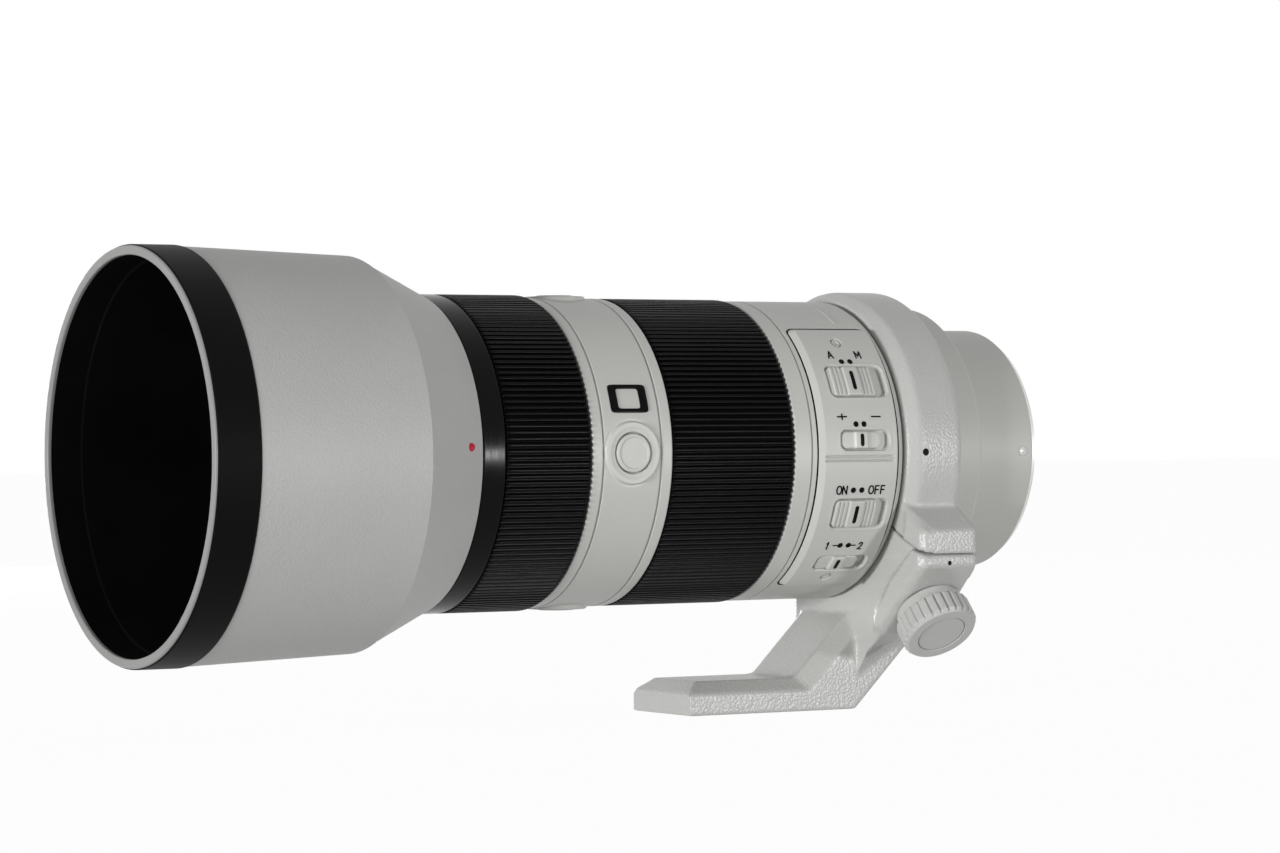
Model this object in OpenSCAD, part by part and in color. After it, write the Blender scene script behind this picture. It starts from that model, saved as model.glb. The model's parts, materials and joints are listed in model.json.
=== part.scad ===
// Telephoto zoom lens with a bayonet hood and a hinged tripod collar.
// Origin: centre of the mount's flange face. +Y runs forward along the optical axis, +Z is up.
// An angle phi about the axis is 0 on the switch side (-X), 90 on top and -90 at the foot.

/* [Barrel lengths] */
// Thickness of the bayonet plate
mount_plate_t = 1.5; // [1.3:0.1:2.5]
// Length of the narrow rear barrel
rear_len = 20.3; // [19:0.1:26]
// Length of the shoulder behind the collar
shoulder_len = 8.2; // [6:0.1:12]
// Length of the barrel that carries the switches
panel_barrel_len = 33.2; // [32:0.1:44]
// Length of the zoom grip
zoom_len = 35.8; // [30:0.1:44]
// Length of the band with the hold buttons
band_len = 22.9; // [21:0.1:30]
// Length of the focus grip
focus_len = 24; // [18:0.1:32]
// Length of the plain ring in front of the focus grip
front_ring_len = 6.3; // [5.5:0.1:9]
// Length of the hood spigot
spigot_len = 5; // [4.8:0.1:7]
// Axial gap beside a turning ring
side_gap = 0.3; // [0.2:0.05:0.5]

/* [Barrel radii] */
// Radius of the bayonet plate
mount_r = 30.5; // [29.8:0.1:31]
// Radius of the rear barrel
rear_r = 31.7; // [31.2:0.1:33]
// Radius of the shoulder behind the collar
shoulder_r = 37.5; // [37:0.1:39]
// Radius of the seat that the collar turns on
seat_r = 36.5; // [36:0.1:37.5]
// Radius of the switch barrel
barrel_r = 39; // [38.6:0.1:39.6]
// Height of the zoom grip above the switch barrel
zoom_rise = 0.3; // [0:0.1:1]
// Height of the button band above the switch barrel
band_rise = 0.3; // [0:0.1:1]
// Height of the focus grip above the button band
focus_rise = 0.7; // [0.3:0.1:1]
// Height of the plain front ring above the focus grip
front_rise = 0; // [-0.4:0.1:0.6]
// Radius of the filter thread
filter_r = 36; // [35:0.5:36.5]
// Outer radius of the carrier tube inside the barrels
carrier_r = 34; // [33.6:0.1:34.3]
// Wall of the carrier tube
carrier_wall = 3; // [2.4:0.1:3.1]

/* [Grips] */
// Ribs around a grip
rib_count = 160; // [80:4:180]
// Depth of the grooves between the ribs
rib_depth = 0.7; // [0.3:0.05:1]
// Share of the pitch that a rib fills
rib_share = 0.62; // [0.4:0.02:0.75]
// Plain lip at each end of a grip
grip_lip = 1.2; // [0.8:0.1:2]
// Thickness of the rubber
rubber_t = 2; // [1.6:0.1:2.1]

/* [Switches] */
// Height of the switch panel above the barrel
panel_rise = 1; // [0.6:0.1:1.4]
// Thickness of the switch panel
panel_t = 1.4; // [1.2:0.1:1.6]
// Axial length of the switch panel
panel_len = 23.8; // [22.5:0.1:26]
// Angle of the panel's upper edge
panel_phi_top = 53; // [50:1:58]
// Angle of the panel's lower edge
panel_phi_low = -62; // [-66:1:-60]
// Travel of a switch slider
switch_travel = 2.4; // [1.6:0.1:3]
// Height of a slider's ribs above the panel
slider_rise = 0.5; // [0.3:0.1:0.8]

/* [Hold buttons] */
// Radius of a hold button
button_r = 4.8; // [4:0.1:5.4]
// Travel of a hold button
button_travel = 0.6; // [0.4:0.1:0.8]
// Radius of the raised ring around a button
boss_r = 8; // [7:0.1:9]
// Height of the raised ring above the band
boss_rise = 0.4; // [0.3:0.05:0.8]
// Height of a button above its ring
button_rise = 0.3; // [0.2:0.05:0.7]

/* [Hood] */
// Length of the hood in front of the plain ring
hood_len = 75.9; // [60:0.5:90]
// Length of the hood's rear cone
hood_cone_len = 18.2; // [14:0.1:24]
// Outer radius behind the bumper
hood_front_r = 51; // [50.5:0.1:54]
// Growth of the radius from the rear cone to the bumper
hood_taper = 1.7; // [1:0.1:2.2]
// Wall of the hood
hood_wall = 2.2; // [1.8:0.1:2.4]
// Thickness of the black lining
lining_t = 0.4; // [0.3:0.05:0.8]
// Width of the rubber bumper
bumper_w = 10.8; // [8:0.1:14]
// Thickness of the rubber bumper
bumper_t = 1.3; // [1:0.1:1.5]
// Thickness of the front rim
rim_t = 1.1; // [0.8:0.1:2]
// Turn of the hood from its lock to its entry gaps
hood_turn = 60; // [50:1:70]

/* [Tripod collar] */
// Width of the collar along the barrel
collar_w = 16.2; // [14:0.1:19]
// Axial gap on each side of the collar
collar_gap = 0.4; // [0.3:0.05:0.6]
// Thickness of the collar ring
collar_t = 4.8; // [4:0.1:6]
// Angle of the split beside the knob
split_phi = -32; // [-36:1:-29]
// Width of the split
seam_w = 0.4; // [0.3:0.05:0.6]
// Radius of the hinge pin
hinge_pin_r = 1.25; // [1:0.05:1.5]
// Radius of a hinge knuckle
knuckle_r = 3; // [2.6:0.1:3.4]
// Radius of the hinge axis from the barrel's axis
hinge_r = 43.2; // [42.5:0.1:43.8]
// Angle of the knob's axis
knob_phi = -48; // [-50:1:-46]
// Distance of the knob's seat from the barrel's axis
knob_seat_r = 54; // [53:0.1:57]
// Radius over the knob's grip
knob_r = 10; // [9:0.1:11]
// Width of the knob's grip
knob_grip_w = 6.5; // [5:0.1:9]
// Flutes around the knob
flute_count = 28; // [16:2:36]

/* [Foot] */
// Width of the foot
foot_w = 29; // [24:0.5:34]
// Depth of the foot's sole below the axis
foot_drop = 67.7; // [64:0.1:80]
// Length of the shoe
shoe_len = 50.3; // [40:0.1:60]
// Height of the shoe's side wall
shoe_side_h = 5.5; // [4.5:0.1:7]
// Height of the bevel above the side wall
shoe_bevel_h = 3.2; // [2:0.1:4]
// Width of the bevel
shoe_bevel_w = 4; // [2:0.1:6]
// Radius of the tripod thread
tripod_thread_r = 3.175; // [3.175, 4.7625]
// Depth of the tripod thread
tripod_depth = 6.5; // [5:0.1:7]
// Distance of the tripod thread from the shoe's heel
tripod_offset = 25.3; // [20:0.1:32]

/* [Optics] */
// Outer radius of the guide tube
guide_r = 26; // [25.6:0.1:26.4]
// Wall of the guide tube
guide_wall = 1.5; // [1.2:0.1:1.8]
// Wall of the cam tube
cam_wall = 1.7; // [1.4:0.1:2]
// Turn of the zoom ring
zoom_turn = 70; // [50:1:75]
// Rearward travel of the variator group
variator_travel = 22; // [16:0.5:23]
// Forward travel of the compensator group
compensator_travel = 9; // [6:0.5:11]
// Travel of the focus group each way
focus_travel = 5; // [3:0.5:5.5]
// Travel of the stabiliser each way
steady_travel = 1; // [0.6:0.1:1.2]
// Radius of a cam follower
follower_r = 1.4; // [1:0.1:1.6]
// Radius of the front glass
front_glass_r = 28.15; // [26.8:0.05:28.6]

/* [Fits] */
// Radial gap of a turning fit
ring_gap = 0.1; // [0.05:0.01:0.1]
// Radial gap of a fixed fit
seat_fit = 0.05; // [0.03:0.01:0.1]
// Gap beside a sliding piece
slide_gap = 0.3; // [0.25:0.05:0.4]

/* [Hidden] */
$fn = 96;

// Stations along the axis, from the flange forward
rear_y0 = mount_plate_t;
shoulder_y0 = rear_y0 + rear_len;
seat_y0 = shoulder_y0 + shoulder_len;
seat_y1 = seat_y0 + collar_w + 2 * collar_gap;
panel_barrel_y1 = seat_y1 + panel_barrel_len;
zoom_y0 = panel_barrel_y1 + side_gap;
zoom_y1 = zoom_y0 + zoom_len;
band_y0 = zoom_y1 + side_gap;
band_y1 = band_y0 + band_len;
focus_y0 = band_y1 + side_gap;
focus_y1 = focus_y0 + focus_len;
front_y0 = focus_y1 + side_gap;
spigot_y0 = front_y0 + front_ring_len;
front_y1 = spigot_y0 + spigot_len;
collar_y0 = seat_y0 + collar_gap;
collar_y1 = collar_y0 + collar_w;
collar_mid = (collar_y0 + collar_y1) / 2;

// Mount
spigot_in_r = 21;
spigot_out_r = 22.6;
bayonet_lug_r = 24;
bayonet_depth = 5.2;
bayonet_lug_y0 = -4.2;
bayonet_lug_y1 = -2.4;
bayonet_lug_span = 50;
relief_depth = 0.5;
end_wall_bore_r = 25.6;
end_wall_t = 3;
mount_screw_pcr = 27.5;
screw_shank_r = 0.8;
screw_head_r = 1.5;
screw_head_t = 0.7;
screw_sink = 0.3;
screw_bite = 2.7;
mount_dot_r = 1.3;
mount_dot_y = rear_y0 + 3.5;
mount_dot_sink = 0.5;
baffle_t = 1.2;
baffle_window_w = 24;
baffle_window_h = 17;
contact_in_r = 17.6;
contact_y0 = -3.4;
contact_span = 60;
contact_count = 10;
contact_pin_r = 0.45;
contact_pitch = 5.2;
contact_pin_proud = 0.3;
contact_pin_len = 1.2;

// Rear barrel and carrier tube
board_bore_r = rear_r - 3.2;
carrier_in_r = carrier_r - carrier_wall;
carrier_y0 = shoulder_y0 + 2.2;
carrier_y1 = front_y0 + 2.9;
barrel_bore_r = carrier_r + seat_fit;
edge_bevel = 0.6;

// Rings that line up with the switch barrel
zoom_r = barrel_r + zoom_rise;
band_r = barrel_r + band_rise;
focus_r = band_r + focus_rise;
front_r = focus_r + front_rise;

// Switch panel, its bay and its sliders
panel_y0 = seat_y1 + 2.4;
panel_y1 = panel_y0 + panel_len;
panel_r = barrel_r + panel_rise;
panel_under_r = panel_r - panel_t;
panel_bevel_w = 1.2;
panel_bevel_h = 0.8;
slider_top_gap = slide_gap + 0.05;
slider_base_t = 1.25;
slider_base_r1 = panel_under_r - slider_top_gap;
slider_base_r0 = slider_base_r1 - slider_base_t;
bay_floor_r = slider_base_r0 - slide_gap - 0.1;
bay_margin_y = 1.2;
bay_top_inset = 15;
bay_low_inset = 9;
bay_phi_top = panel_phi_top - bay_top_inset;
bay_phi_low = panel_phi_low + bay_low_inset;
switch_inset = 10.3;
switch_y = panel_y0 + switch_inset;
slider_lip = 1;
slider_rib_w = 0.8;
slider_rib_pitch = 1.5;
pocket_round = 0.8;
divider_phi = -3.5;
divider_w = 0.5;
divider_depth = 0.35;
panel_screw_r = 0.7;
panel_screw_head_r = 1.3;
panel_screw_head_t = 0.6;
panel_screw_sink = 0.25;
panel_screw_bite = 1.6;
panel_screw_top_inset = 9.1;
panel_screw_low_inset = 7.5;
panel_screw_y = panel_y0 + panel_len / 2;
// Each switch: angle, axial length of its pocket, width of its pocket, ribs on each side of the ridge
focus_switch_spec = [26.5, 17.4, 10, 3];
range_switch_spec = [3.9, 14.9, 5.3, 0];
stabiliser_switch_spec = [-23.9, 16.2, 8.8, 3];
mode_switch_spec = [-46.3, 15.5, 6, 0];
SWITCHES = [focus_switch_spec, range_switch_spec, stabiliser_switch_spec, mode_switch_spec];
groove_w = 0.6;
groove_depth = 0.3;
panel_groove_y = panel_y1 + 2;
rear_strip_drop = 1;

// Button band
button_y = band_y0 + band_len / 2;
button_phis = [0, 90, -90];
boss_top_r = band_r + boss_rise;
boss_root_r = carrier_r + 2;
boss_bevel_w = 0.6;
boss_bevel_h = 0.3;
button_hole_r = button_r + slide_gap;
button_top_r = boss_top_r + button_rise;
button_body_len = 3.6;
button_foot_r = button_top_r - button_body_len;
button_floor_r = button_foot_r - button_travel - slide_gap;
band_groove_inset = 3.2;
badge_phi = 20;
badge_w = 7.4;
badge_len = 10.7;
badge_border = 1.1;
badge_t = 0.35;

// Turning rings
ring_bore_r = carrier_r + ring_gap;
zoom_sleeve_r = zoom_r - rubber_t;
focus_sleeve_r = focus_r - rubber_t - 0.1;
lip_drop = 0.05;

// Front barrel and hood spigot
hood_clear = 0.3;
spigot_r = front_r - 1.5;
spigot_groove_r = spigot_r - 1.1;
spigot_groove_y0 = spigot_y0 + 1.2;
spigot_groove_w = 2;
hood_bore_r = spigot_r + hood_clear;
hood_lug_r = spigot_groove_r + hood_clear;
hood_lug_phis = [90, 210, 330];
hood_lug_half = 19;
entry_half = hood_lug_half + 3;
ledge_r = filter_r - 3;
ledge_y = spigot_y0 - 0.4;
ledge_t = ledge_y - carrier_y1 - 0.5;
name_ring_in_r = front_glass_r - 0.45;
name_ring_t = 1;
name_ring_rim = 0.8;
name_seat_r = filter_r - 0.6;
name_ring_slope = 1.4;
front_bevel = 0.5;

// Hood
hood_y0 = spigot_y0 + 0.2;
hood_y1 = hood_y0 + hood_len;
hood_cone_y1 = hood_y0 + hood_cone_len;
hood_rear_r = front_r + 0.25;
hood_crease_r = hood_front_r - hood_taper;
rim_y0 = hood_y1 - rim_t;
bumper_y0 = rim_y0 - bumper_w;
bumper_out_r = hood_front_r + 0.3;
bumper_in_r = bumper_out_r - bumper_t;
hood_in_r = hood_front_r - hood_wall;
hood_crease_in_r = hood_crease_r - hood_wall + 0.3;
hood_throat_y = front_y1 + 0.6;
bumper_round = 0.5;
lining_y0 = hood_cone_y1 + 1;
lining_front_gap = 8;
lining_y1 = rim_y0 - lining_front_gap;
hood_dot_r = 0.9;
hood_dot_phi = 2.5;
hood_dot_inset = 4.4;
hood_dot_y = hood_y0 + hood_dot_inset;
hood_dot_surface = hood_rear_r + (hood_crease_r - hood_rear_r) * (hood_dot_y - hood_y0) / hood_cone_len;

// Collar, clamp and foot
collar_in_r = seat_r + slide_gap;
collar_out_r = collar_in_r + collar_t;
collar_rear_bevel = 1.2;
collar_front_bevel_w = 3;
collar_front_bevel_h = 2.4;
hinge_phi = split_phi + 180;
seam_half = seam_w / 2;
knuckle_gap = 0.3;
knuckle_third = collar_w / 3;
knuckle_clear = knuckle_r + slide_gap;
block_corner_r = knob_seat_r / cos(knob_phi - split_phi);
block_corner = [-cos(split_phi) * block_corner_r, sin(split_phi) * block_corner_r];
block_heel_half = foot_w / 2 - 3;
// In the blocks the seam bends away from the split's plane
seam_lift = 3;
seam_bend = collar_out_r * [-cos(split_phi), sin(split_phi)];
seam_end = block_corner + [0, seam_lift];
seam_end_phi = atan2(seam_end[1] - seam_bend[1], seam_bend[0] - seam_end[0]);
block_root_r = collar_in_r - 0.5;
// Joined blocks end a little inside the ring's own end faces
step_in = 0.05;
block_y0 = collar_y0 + 2 * step_in;
block_y1 = collar_y1 - 2 * step_in;
block_heel_x = -27.6;
block_heel_z = -(knob_seat_r + block_heel_x * cos(knob_phi)) / -sin(knob_phi);
block_heel_low = -50;
upper_block_rise = 9.37;
upper_block_root = [-37, -13.2];
block_heel_bevel = 0.5;
block_bevel_x = 7;
block_bevel_y = 2.4;
knob_neck_r = knob_r - 1.4;
knob_neck_y0 = knob_seat_r + slide_gap;
knob_neck_len = 3;
knob_face_r = 6.8;
knob_face_sink = 0.6;
flute_r = 0.55;
clamp_screw_r = 2.4;
clamp_screw_tip_r = collar_in_r + 1.2;
foot_half = foot_w / 2;
foot_top_half = foot_half - shoe_bevel_w;
shoe_top_z = -foot_drop + shoe_side_h + shoe_bevel_h;
shoe_side_z = -foot_drop + shoe_side_h;
shoe_y0 = collar_y1 + 0.1;
shoe_y1 = shoe_y0 + shoe_len;
neck_top_z = -collar_in_r - 1.2;
neck_y0 = collar_y0 + step_in;
neck_y1 = collar_y1 - step_in;
arm_under = (shoe_y0 - foot_drop) * sqrt(0.5);
foot_over = 2;
foot_fillet_r = 5;
arm_rise = 13.8;
arm_ridge = 17.7;
arm_sum = (arm_under + arm_ridge) * sqrt(2);
bush_r = tripod_thread_r + 1.85;
tripod_y = shoe_y0 + tripod_offset;
reach = 200;

// Optical groups, from the flange forward
guide_in_r = guide_r - guide_wall;
inner_fit_r = guide_in_r - seat_fit;
guide_y0 = 12;
guide_flange_t = 2;
guide_rear_flange_r = board_bore_r - seat_fit - 0.05;
front_cell_len = 26;
front_cell_y1 = ledge_y - 2;
front_cell_y0 = front_cell_y1 - front_cell_len;
guide_y1 = front_cell_y0 - 2;
follower_gap = 0.2;
follower_phis = [0, 120, 240];
cam_in_r = guide_r + ring_gap;
cam_r = cam_in_r + cam_wall;
cam_y0 = 45;
cam_front_gap = 13;
cam_y1 = guide_y1 - guide_flange_t - cam_front_gap;
zoom_key_r = 1.5;
zoom_key_y = (zoom_y0 + zoom_y1) / 2 - 0.4;
// Midway between two of the cam's slots
zoom_key_phi = 35;
zoom_key_in_r = cam_in_r + 0.5;
zoom_key_out_r = zoom_sleeve_r - 1.3;
key_window_half = zoom_key_r + 1;
key_window_slack = 5;
cell_r = guide_in_r - slide_gap;
cell_wall = 4;
glass_seat = cell_r - cell_wall;
variator_y0 = 100;
variator_len = 12;
compensator_y0 = 54;
compensator_len = 10;
iris_open_r = 10;
iris_clear_r = 15;
iris_blade_t = 0.4;
blade_count = 9;
blade_gap_deg = 0.8;
rod_r = 1;
rod_pcr = 21.6;
rod_phis = [90, -90];
rod_bite = 1;
ear_r = 2.2;
steady_y0 = 19;
steady_y1 = 27;
focus_stop = 1.75;
focus_cell_r = 19.2;
// A bulging face clears the inner edge of the ledge under it
glass_lift = 0.3;
focus_glass_r = 15.5;
focus_len_cell = 7;
focus_cell_y0 = steady_y1 + focus_stop + focus_travel;
iris_y0 = focus_cell_y0 + focus_len_cell + focus_travel + focus_stop;
iris_len = 5;
motor_in_r = 20;
motor_phi0 = 200;
motor_phi1 = 250;
steady_wall = 1;
steady_window_r = 15.5;
steady_bore_r = inner_fit_r - 2.4;
yoke_t = 2.6;
yoke_r = steady_bore_r - steady_travel - 0.5;
yoke_window_r = 15.8;
steady_cell_r = yoke_r - 1.5;
steady_glass_r = 12.8;
rear_cell_y0 = 12.5;
rear_cell_y1 = 18;
rear_glass_r = 15.95;
board_y0 = 8;
board_t = 1.6;
board_in_r = 21;
inner_glass_r = 26;
inner_glass_len = 8;
inner_glass_ledge = 5;
front_glass_seat = 9;
front_glass_recess = 1.2;
eps = 0.5;
// Flat land around a hollow lens face
lens_land = 1.5;
arc_facets = 720;

// Frames about the optical axis
module about_axis() {
    rotate([-90, 0, 0]) children();
}

// Turns an outline of [radius, station] points about the optical axis
module revolve(points) {
    about_axis() rotate_extrude() polygon(points);
}

// Turns an outline from one angle to another
module sector(phi0, phi1, points) {
    about_axis() rotate([0, 0, 180 + phi0]) rotate_extrude(angle = phi1 - phi0) polygon(points);
}

// A plain ring
module ring(r0, r1, y0, y1) {
    revolve([[r0, y0], [r1, y0], [r1, y1], [r0, y1]]);
}

// A plain part of a ring
module arc_block(phi0, phi1, r0, r1, y0, y1) {
    sector(phi0, phi1, [[r0, y0], [r1, y0], [r1, y1], [r0, y1]]);
}

// Stands on the barrel: local Z points outward, X around, Y along the axis
module outward(phi, y, r) {
    rotate([0, phi, 0]) translate([-r, y, 0]) rotate([0, -90, 0]) children();
}

// A cylinder along the optical axis, off centre
module axial_pin(phi, pcr, r, y0, y1) {
    rotate([0, phi, 0]) translate([-pcr, y0, 0]) about_axis() cylinder(r = r, h = y1 - y0);
}

// A cylinder that stands out from the axis
module radial_pin(phi, y, r, r0, r1) {
    outward(phi, y, r0) cylinder(r = r, h = r1 - r0);
}

// Extrudes an (X, Z) outline along the axis
module xz_extrude(y0, y1) {
    translate([0, y1, 0]) rotate([90, 0, 0]) linear_extrude(y1 - y0) children();
}

// Extrudes a (Y, Z) outline across the axis
module yz_extrude(w) {
    translate([-w / 2, 0, 0]) rotate([90, 0, 90]) linear_extrude(w) children();
}

// A rectangle with round corners
module round_rect(w, l, r) {
    square([w - 2 * r, l], center = true);
    square([w, l - 2 * r], center = true);
    for (sx = [-1, 1], sy = [-1, 1]) {
        translate([sx * (w / 2 - r), sy * (l / 2 - r)]) circle(r);
    }
}

// A lens: a turned disc with spherical faces, positive sagitta bulges out, negative hollows
module lens(r, y0, y1, sag0, sag1) {
    about_axis() rotate_extrude() difference() {
        intersection() {
            translate([0, y0 - max(sag0, 0)]) square([r, y1 - y0 + max(sag0, 0) + max(sag1, 0)]);
            if (sag0 > 0) lens_face(r, y0 - sag0, sag0, 1);
            if (sag1 > 0) lens_face(r, y1 + sag1, sag1, -1);
            square(4 * reach, center = true);
        }
        if (sag0 < 0) lens_face(r - lens_land, y0 - sag0, -sag0, -1);
        if (sag1 < 0) lens_face(r - lens_land, y1 + sag1, -sag1, 1);
    }
}

// The circle of a spherical face: its crown lies at a station, its centre on one side of it
module lens_face(r, crown, sag, side) {
    ball_r = (r * r + sag * sag) / (2 * sag);
    translate([0, crown + side * ball_r]) circle(ball_r, $fn = arc_facets);
}

// Mount
module mount_ring() {
    color("silver") difference() {
        union() {
            ring(spigot_in_r, mount_r, 0, mount_plate_t);
            ring(spigot_in_r, spigot_out_r, -bayonet_depth, mount_plate_t);
            for (i = [0:2]) {
                arc_block(i * 120 + 20, i * 120 + 20 + bayonet_lug_span,
                          spigot_in_r + 0.8, bayonet_lug_r, bayonet_lug_y0, bayonet_lug_y1);
            }
        }
        ring(spigot_out_r, bayonet_lug_r + 0.2, -eps, relief_depth);
        for (i = [0:3]) {
            axial_pin(i * 90, mount_screw_pcr, screw_head_r + seat_fit, -eps, screw_sink + screw_head_t);
            axial_pin(i * 90, mount_screw_pcr, screw_shank_r + seat_fit, 0, mount_plate_t + eps);
        }
    }
}

module mount_screws() {
    color("dimgray") for (i = [0:3]) {
        axial_pin(i * 90, mount_screw_pcr, screw_head_r, screw_sink, screw_sink + screw_head_t);
        axial_pin(i * 90, mount_screw_pcr, screw_shank_r, screw_sink, rear_y0 + screw_bite);
    }
}

module bead(phi, y, r, size) {
    rotate([0, phi, 0]) translate([-r, y, 0]) sphere(size);
}

module mount_dot() {
    color("white") difference() {
        bead(-1, mount_dot_y, rear_r - mount_dot_sink, mount_dot_r);
        ring(0, rear_r - mount_dot_sink - 0.7, rear_y0, shoulder_y0);
    }
}

module rear_baffle() {
    color("black") difference() {
        ring(0, end_wall_bore_r - seat_fit, rear_y0, rear_y0 + baffle_t);
        translate([-baffle_window_w / 2, rear_y0 - eps, -baffle_window_h / 2])
            cube([baffle_window_w, baffle_t + 2 * eps, baffle_window_h]);
    }
}

module contact_block() {
    color("black") difference() {
        arc_block(-90 - contact_span / 2, -90 + contact_span / 2, contact_in_r,
                  spigot_in_r - ring_gap, contact_y0, rear_y0);
        for (i = [0:contact_count - 1]) {
            contact_pin(i, contact_pin_r + seat_fit);
        }
    }
}

module contact_pin(i, r) {
    phi = -90 + (i - (contact_count - 1) / 2) * contact_pitch;
    pcr = (contact_in_r + spigot_in_r) / 2;
    axial_pin(phi, pcr, r, contact_y0 - contact_pin_proud, contact_y0 - contact_pin_proud + contact_pin_len);
}

module contact_pins() {
    color("gold") for (i = [0:contact_count - 1]) contact_pin(i, contact_pin_r);
}

// Fixed barrels
module rear_barrel() {
    color("whitesmoke") difference() {
        revolve([
            [end_wall_bore_r, rear_y0], [rear_r - edge_bevel, rear_y0], [rear_r, rear_y0 + edge_bevel],
            [rear_r, shoulder_y0], [shoulder_r - edge_bevel, shoulder_y0],
            [shoulder_r, shoulder_y0 + edge_bevel], [shoulder_r, seat_y0], [seat_r, seat_y0],
            [seat_r, seat_y1], [barrel_bore_r, seat_y1], [barrel_bore_r, carrier_y0],
            [board_bore_r, carrier_y0], [board_bore_r, rear_y0 + end_wall_t],
            [end_wall_bore_r, rear_y0 + end_wall_t]
        ]);
        for (i = [0:3]) {
            axial_pin(i * 90, mount_screw_pcr, screw_shank_r + seat_fit,
                      rear_y0 - eps, rear_y0 + screw_bite + 0.1);
        }
        bead(-1, mount_dot_y, rear_r - mount_dot_sink, mount_dot_r + seat_fit);
    }
}

module main_barrel() {
    color("whitesmoke") difference() {
        revolve([
            [barrel_bore_r, seat_y1], [barrel_r - rear_strip_drop, seat_y1], [barrel_r, panel_y0 - 0.4],
            [barrel_r, panel_groove_y - groove_w / 2], [barrel_r - groove_depth, panel_groove_y],
            [barrel_r, panel_groove_y + groove_w / 2], [barrel_r, panel_barrel_y1],
            [barrel_bore_r, panel_barrel_y1]
        ]);
        arc_block(panel_phi_low - 0.1, panel_phi_top + 0.1, panel_under_r - seat_fit, panel_r + 1,
                  panel_y0 - seat_fit, panel_y1 + seat_fit);
        arc_block(bay_phi_low, bay_phi_top, bay_floor_r, panel_r,
                  panel_y0 + bay_margin_y, panel_y1 - bay_margin_y);
        for (phi = panel_screw_phis()) {
            radial_pin(phi, panel_screw_y, panel_screw_r + seat_fit, panel_under_r - panel_screw_bite - 0.1, panel_r);
        }
    }
}

function panel_screw_phis() = [panel_phi_top - panel_screw_top_inset, panel_phi_low + panel_screw_low_inset];

// The window of one switch, with room for its slider
module switch_window(spec) {
    outward(spec[0], switch_y, 0) translate([0, 0, panel_under_r - 1])
        linear_extrude(panel_t + 2) round_rect(spec[2], spec[1], pocket_round);
}

module switch_panel() {
    color("whitesmoke") difference() {
        sector(panel_phi_low, panel_phi_top, [
            [panel_under_r, panel_y0], [panel_r - 0.4, panel_y0], [panel_r, panel_y0 + 0.4],
            [panel_r, panel_y1 - panel_bevel_w], [panel_r - panel_bevel_h, panel_y1],
            [panel_under_r, panel_y1]
        ]);
        for (spec = SWITCHES) switch_window(spec);
        arc_block(divider_phi - divider_w / 2, divider_phi + divider_w / 2, panel_r - divider_depth,
                  panel_r + 1, panel_y0 + 2, panel_y1 - 2);
        for (phi = panel_screw_phis()) {
            radial_pin(phi, panel_screw_y, panel_screw_r + seat_fit, panel_under_r - 1, panel_r);
            radial_pin(phi, panel_screw_y, panel_screw_head_r + seat_fit,
                       panel_r - panel_screw_sink - panel_screw_head_t, panel_r + 1);
        }
    }
}

module panel_screws() {
    color("gray") for (phi = panel_screw_phis()) {
        radial_pin(phi, panel_screw_y, panel_screw_r, panel_under_r - panel_screw_bite, panel_r - panel_screw_sink);
        radial_pin(phi, panel_screw_y, panel_screw_head_r,
                   panel_r - panel_screw_sink - panel_screw_head_t, panel_r - panel_screw_sink);
    }
}

// One slider: a curved base under the panel and a ribbed cap in the window
module slider(spec) {
    cap_len = spec[1] - switch_travel - 2 * slide_gap;
    cap_w = spec[2] - 2 * slide_gap;
    cap_y = switch_y + switch_travel / 2;
    base_half = (spec[2] / 2 + slider_lip) / slider_base_r1 * 180 / PI;
    cap_top = panel_r - 0.1;
    arc_block(spec[0] - base_half, spec[0] + base_half, slider_base_r0, slider_base_r1,
              cap_y - cap_len / 2, cap_y + cap_len / 2);
    outward(spec[0], cap_y, slider_base_r0 + 0.4) {
        translate([-cap_w / 2, -cap_len / 2, 0]) cube([cap_w, cap_len, cap_top - slider_base_r0 - 0.4]);
        for (i = [-spec[3]:spec[3]]) {
            offset_y = i == 0 ? 0 : (i + sign(i)) * slider_rib_pitch;
            rib_w = i == 0 ? 2 * slider_rib_w : slider_rib_w;
            translate([-cap_w / 2, offset_y - rib_w / 2, 0])
                cube([cap_w, rib_w, panel_r + slider_rise - slider_base_r0 - 0.4]);
        }
    }
}

module focus_switch() {
    color("lightgray") slider(focus_switch_spec);
}

module range_switch() {
    color("lightgray") slider(range_switch_spec);
}

module stabiliser_switch() {
    color("lightgray") slider(stabiliser_switch_spec);
}

module mode_switch() {
    color("lightgray") slider(mode_switch_spec);
}

module carrier_tube() {
    color("dimgray") difference() {
        ring(carrier_in_r, carrier_r, carrier_y0, carrier_y1);
        arc_block(zoom_key_phi - key_window_slack, zoom_key_phi + zoom_turn + key_window_slack,
                  carrier_in_r - 1, carrier_r + 1, zoom_key_y - key_window_half, zoom_key_y + key_window_half);
    }
}

// A shallow groove around the button band
module band_groove(y) {
    revolve([[band_r - groove_depth, y], [band_r + 1, y - groove_w], [band_r + 1, y + groove_w]]);
}

module button_band() {
    color("whitesmoke") difference() {
        union() {
            ring(barrel_bore_r, band_r, band_y0, band_y1);
            for (phi = button_phis) {
                outward(phi, button_y, boss_root_r) rotate_extrude() polygon([
                    [0, 0], [boss_r, 0], [boss_r, boss_top_r - boss_root_r - boss_bevel_h],
                    [boss_r - boss_bevel_w, boss_top_r - boss_root_r], [0, boss_top_r - boss_root_r]
                ]);
            }
        }
        band_groove(band_y0 + band_groove_inset);
        band_groove(band_y1 - band_groove_inset);
        for (phi = button_phis) radial_pin(phi, button_y, button_hole_r, button_floor_r, boss_top_r + 1);
    }
}

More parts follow.
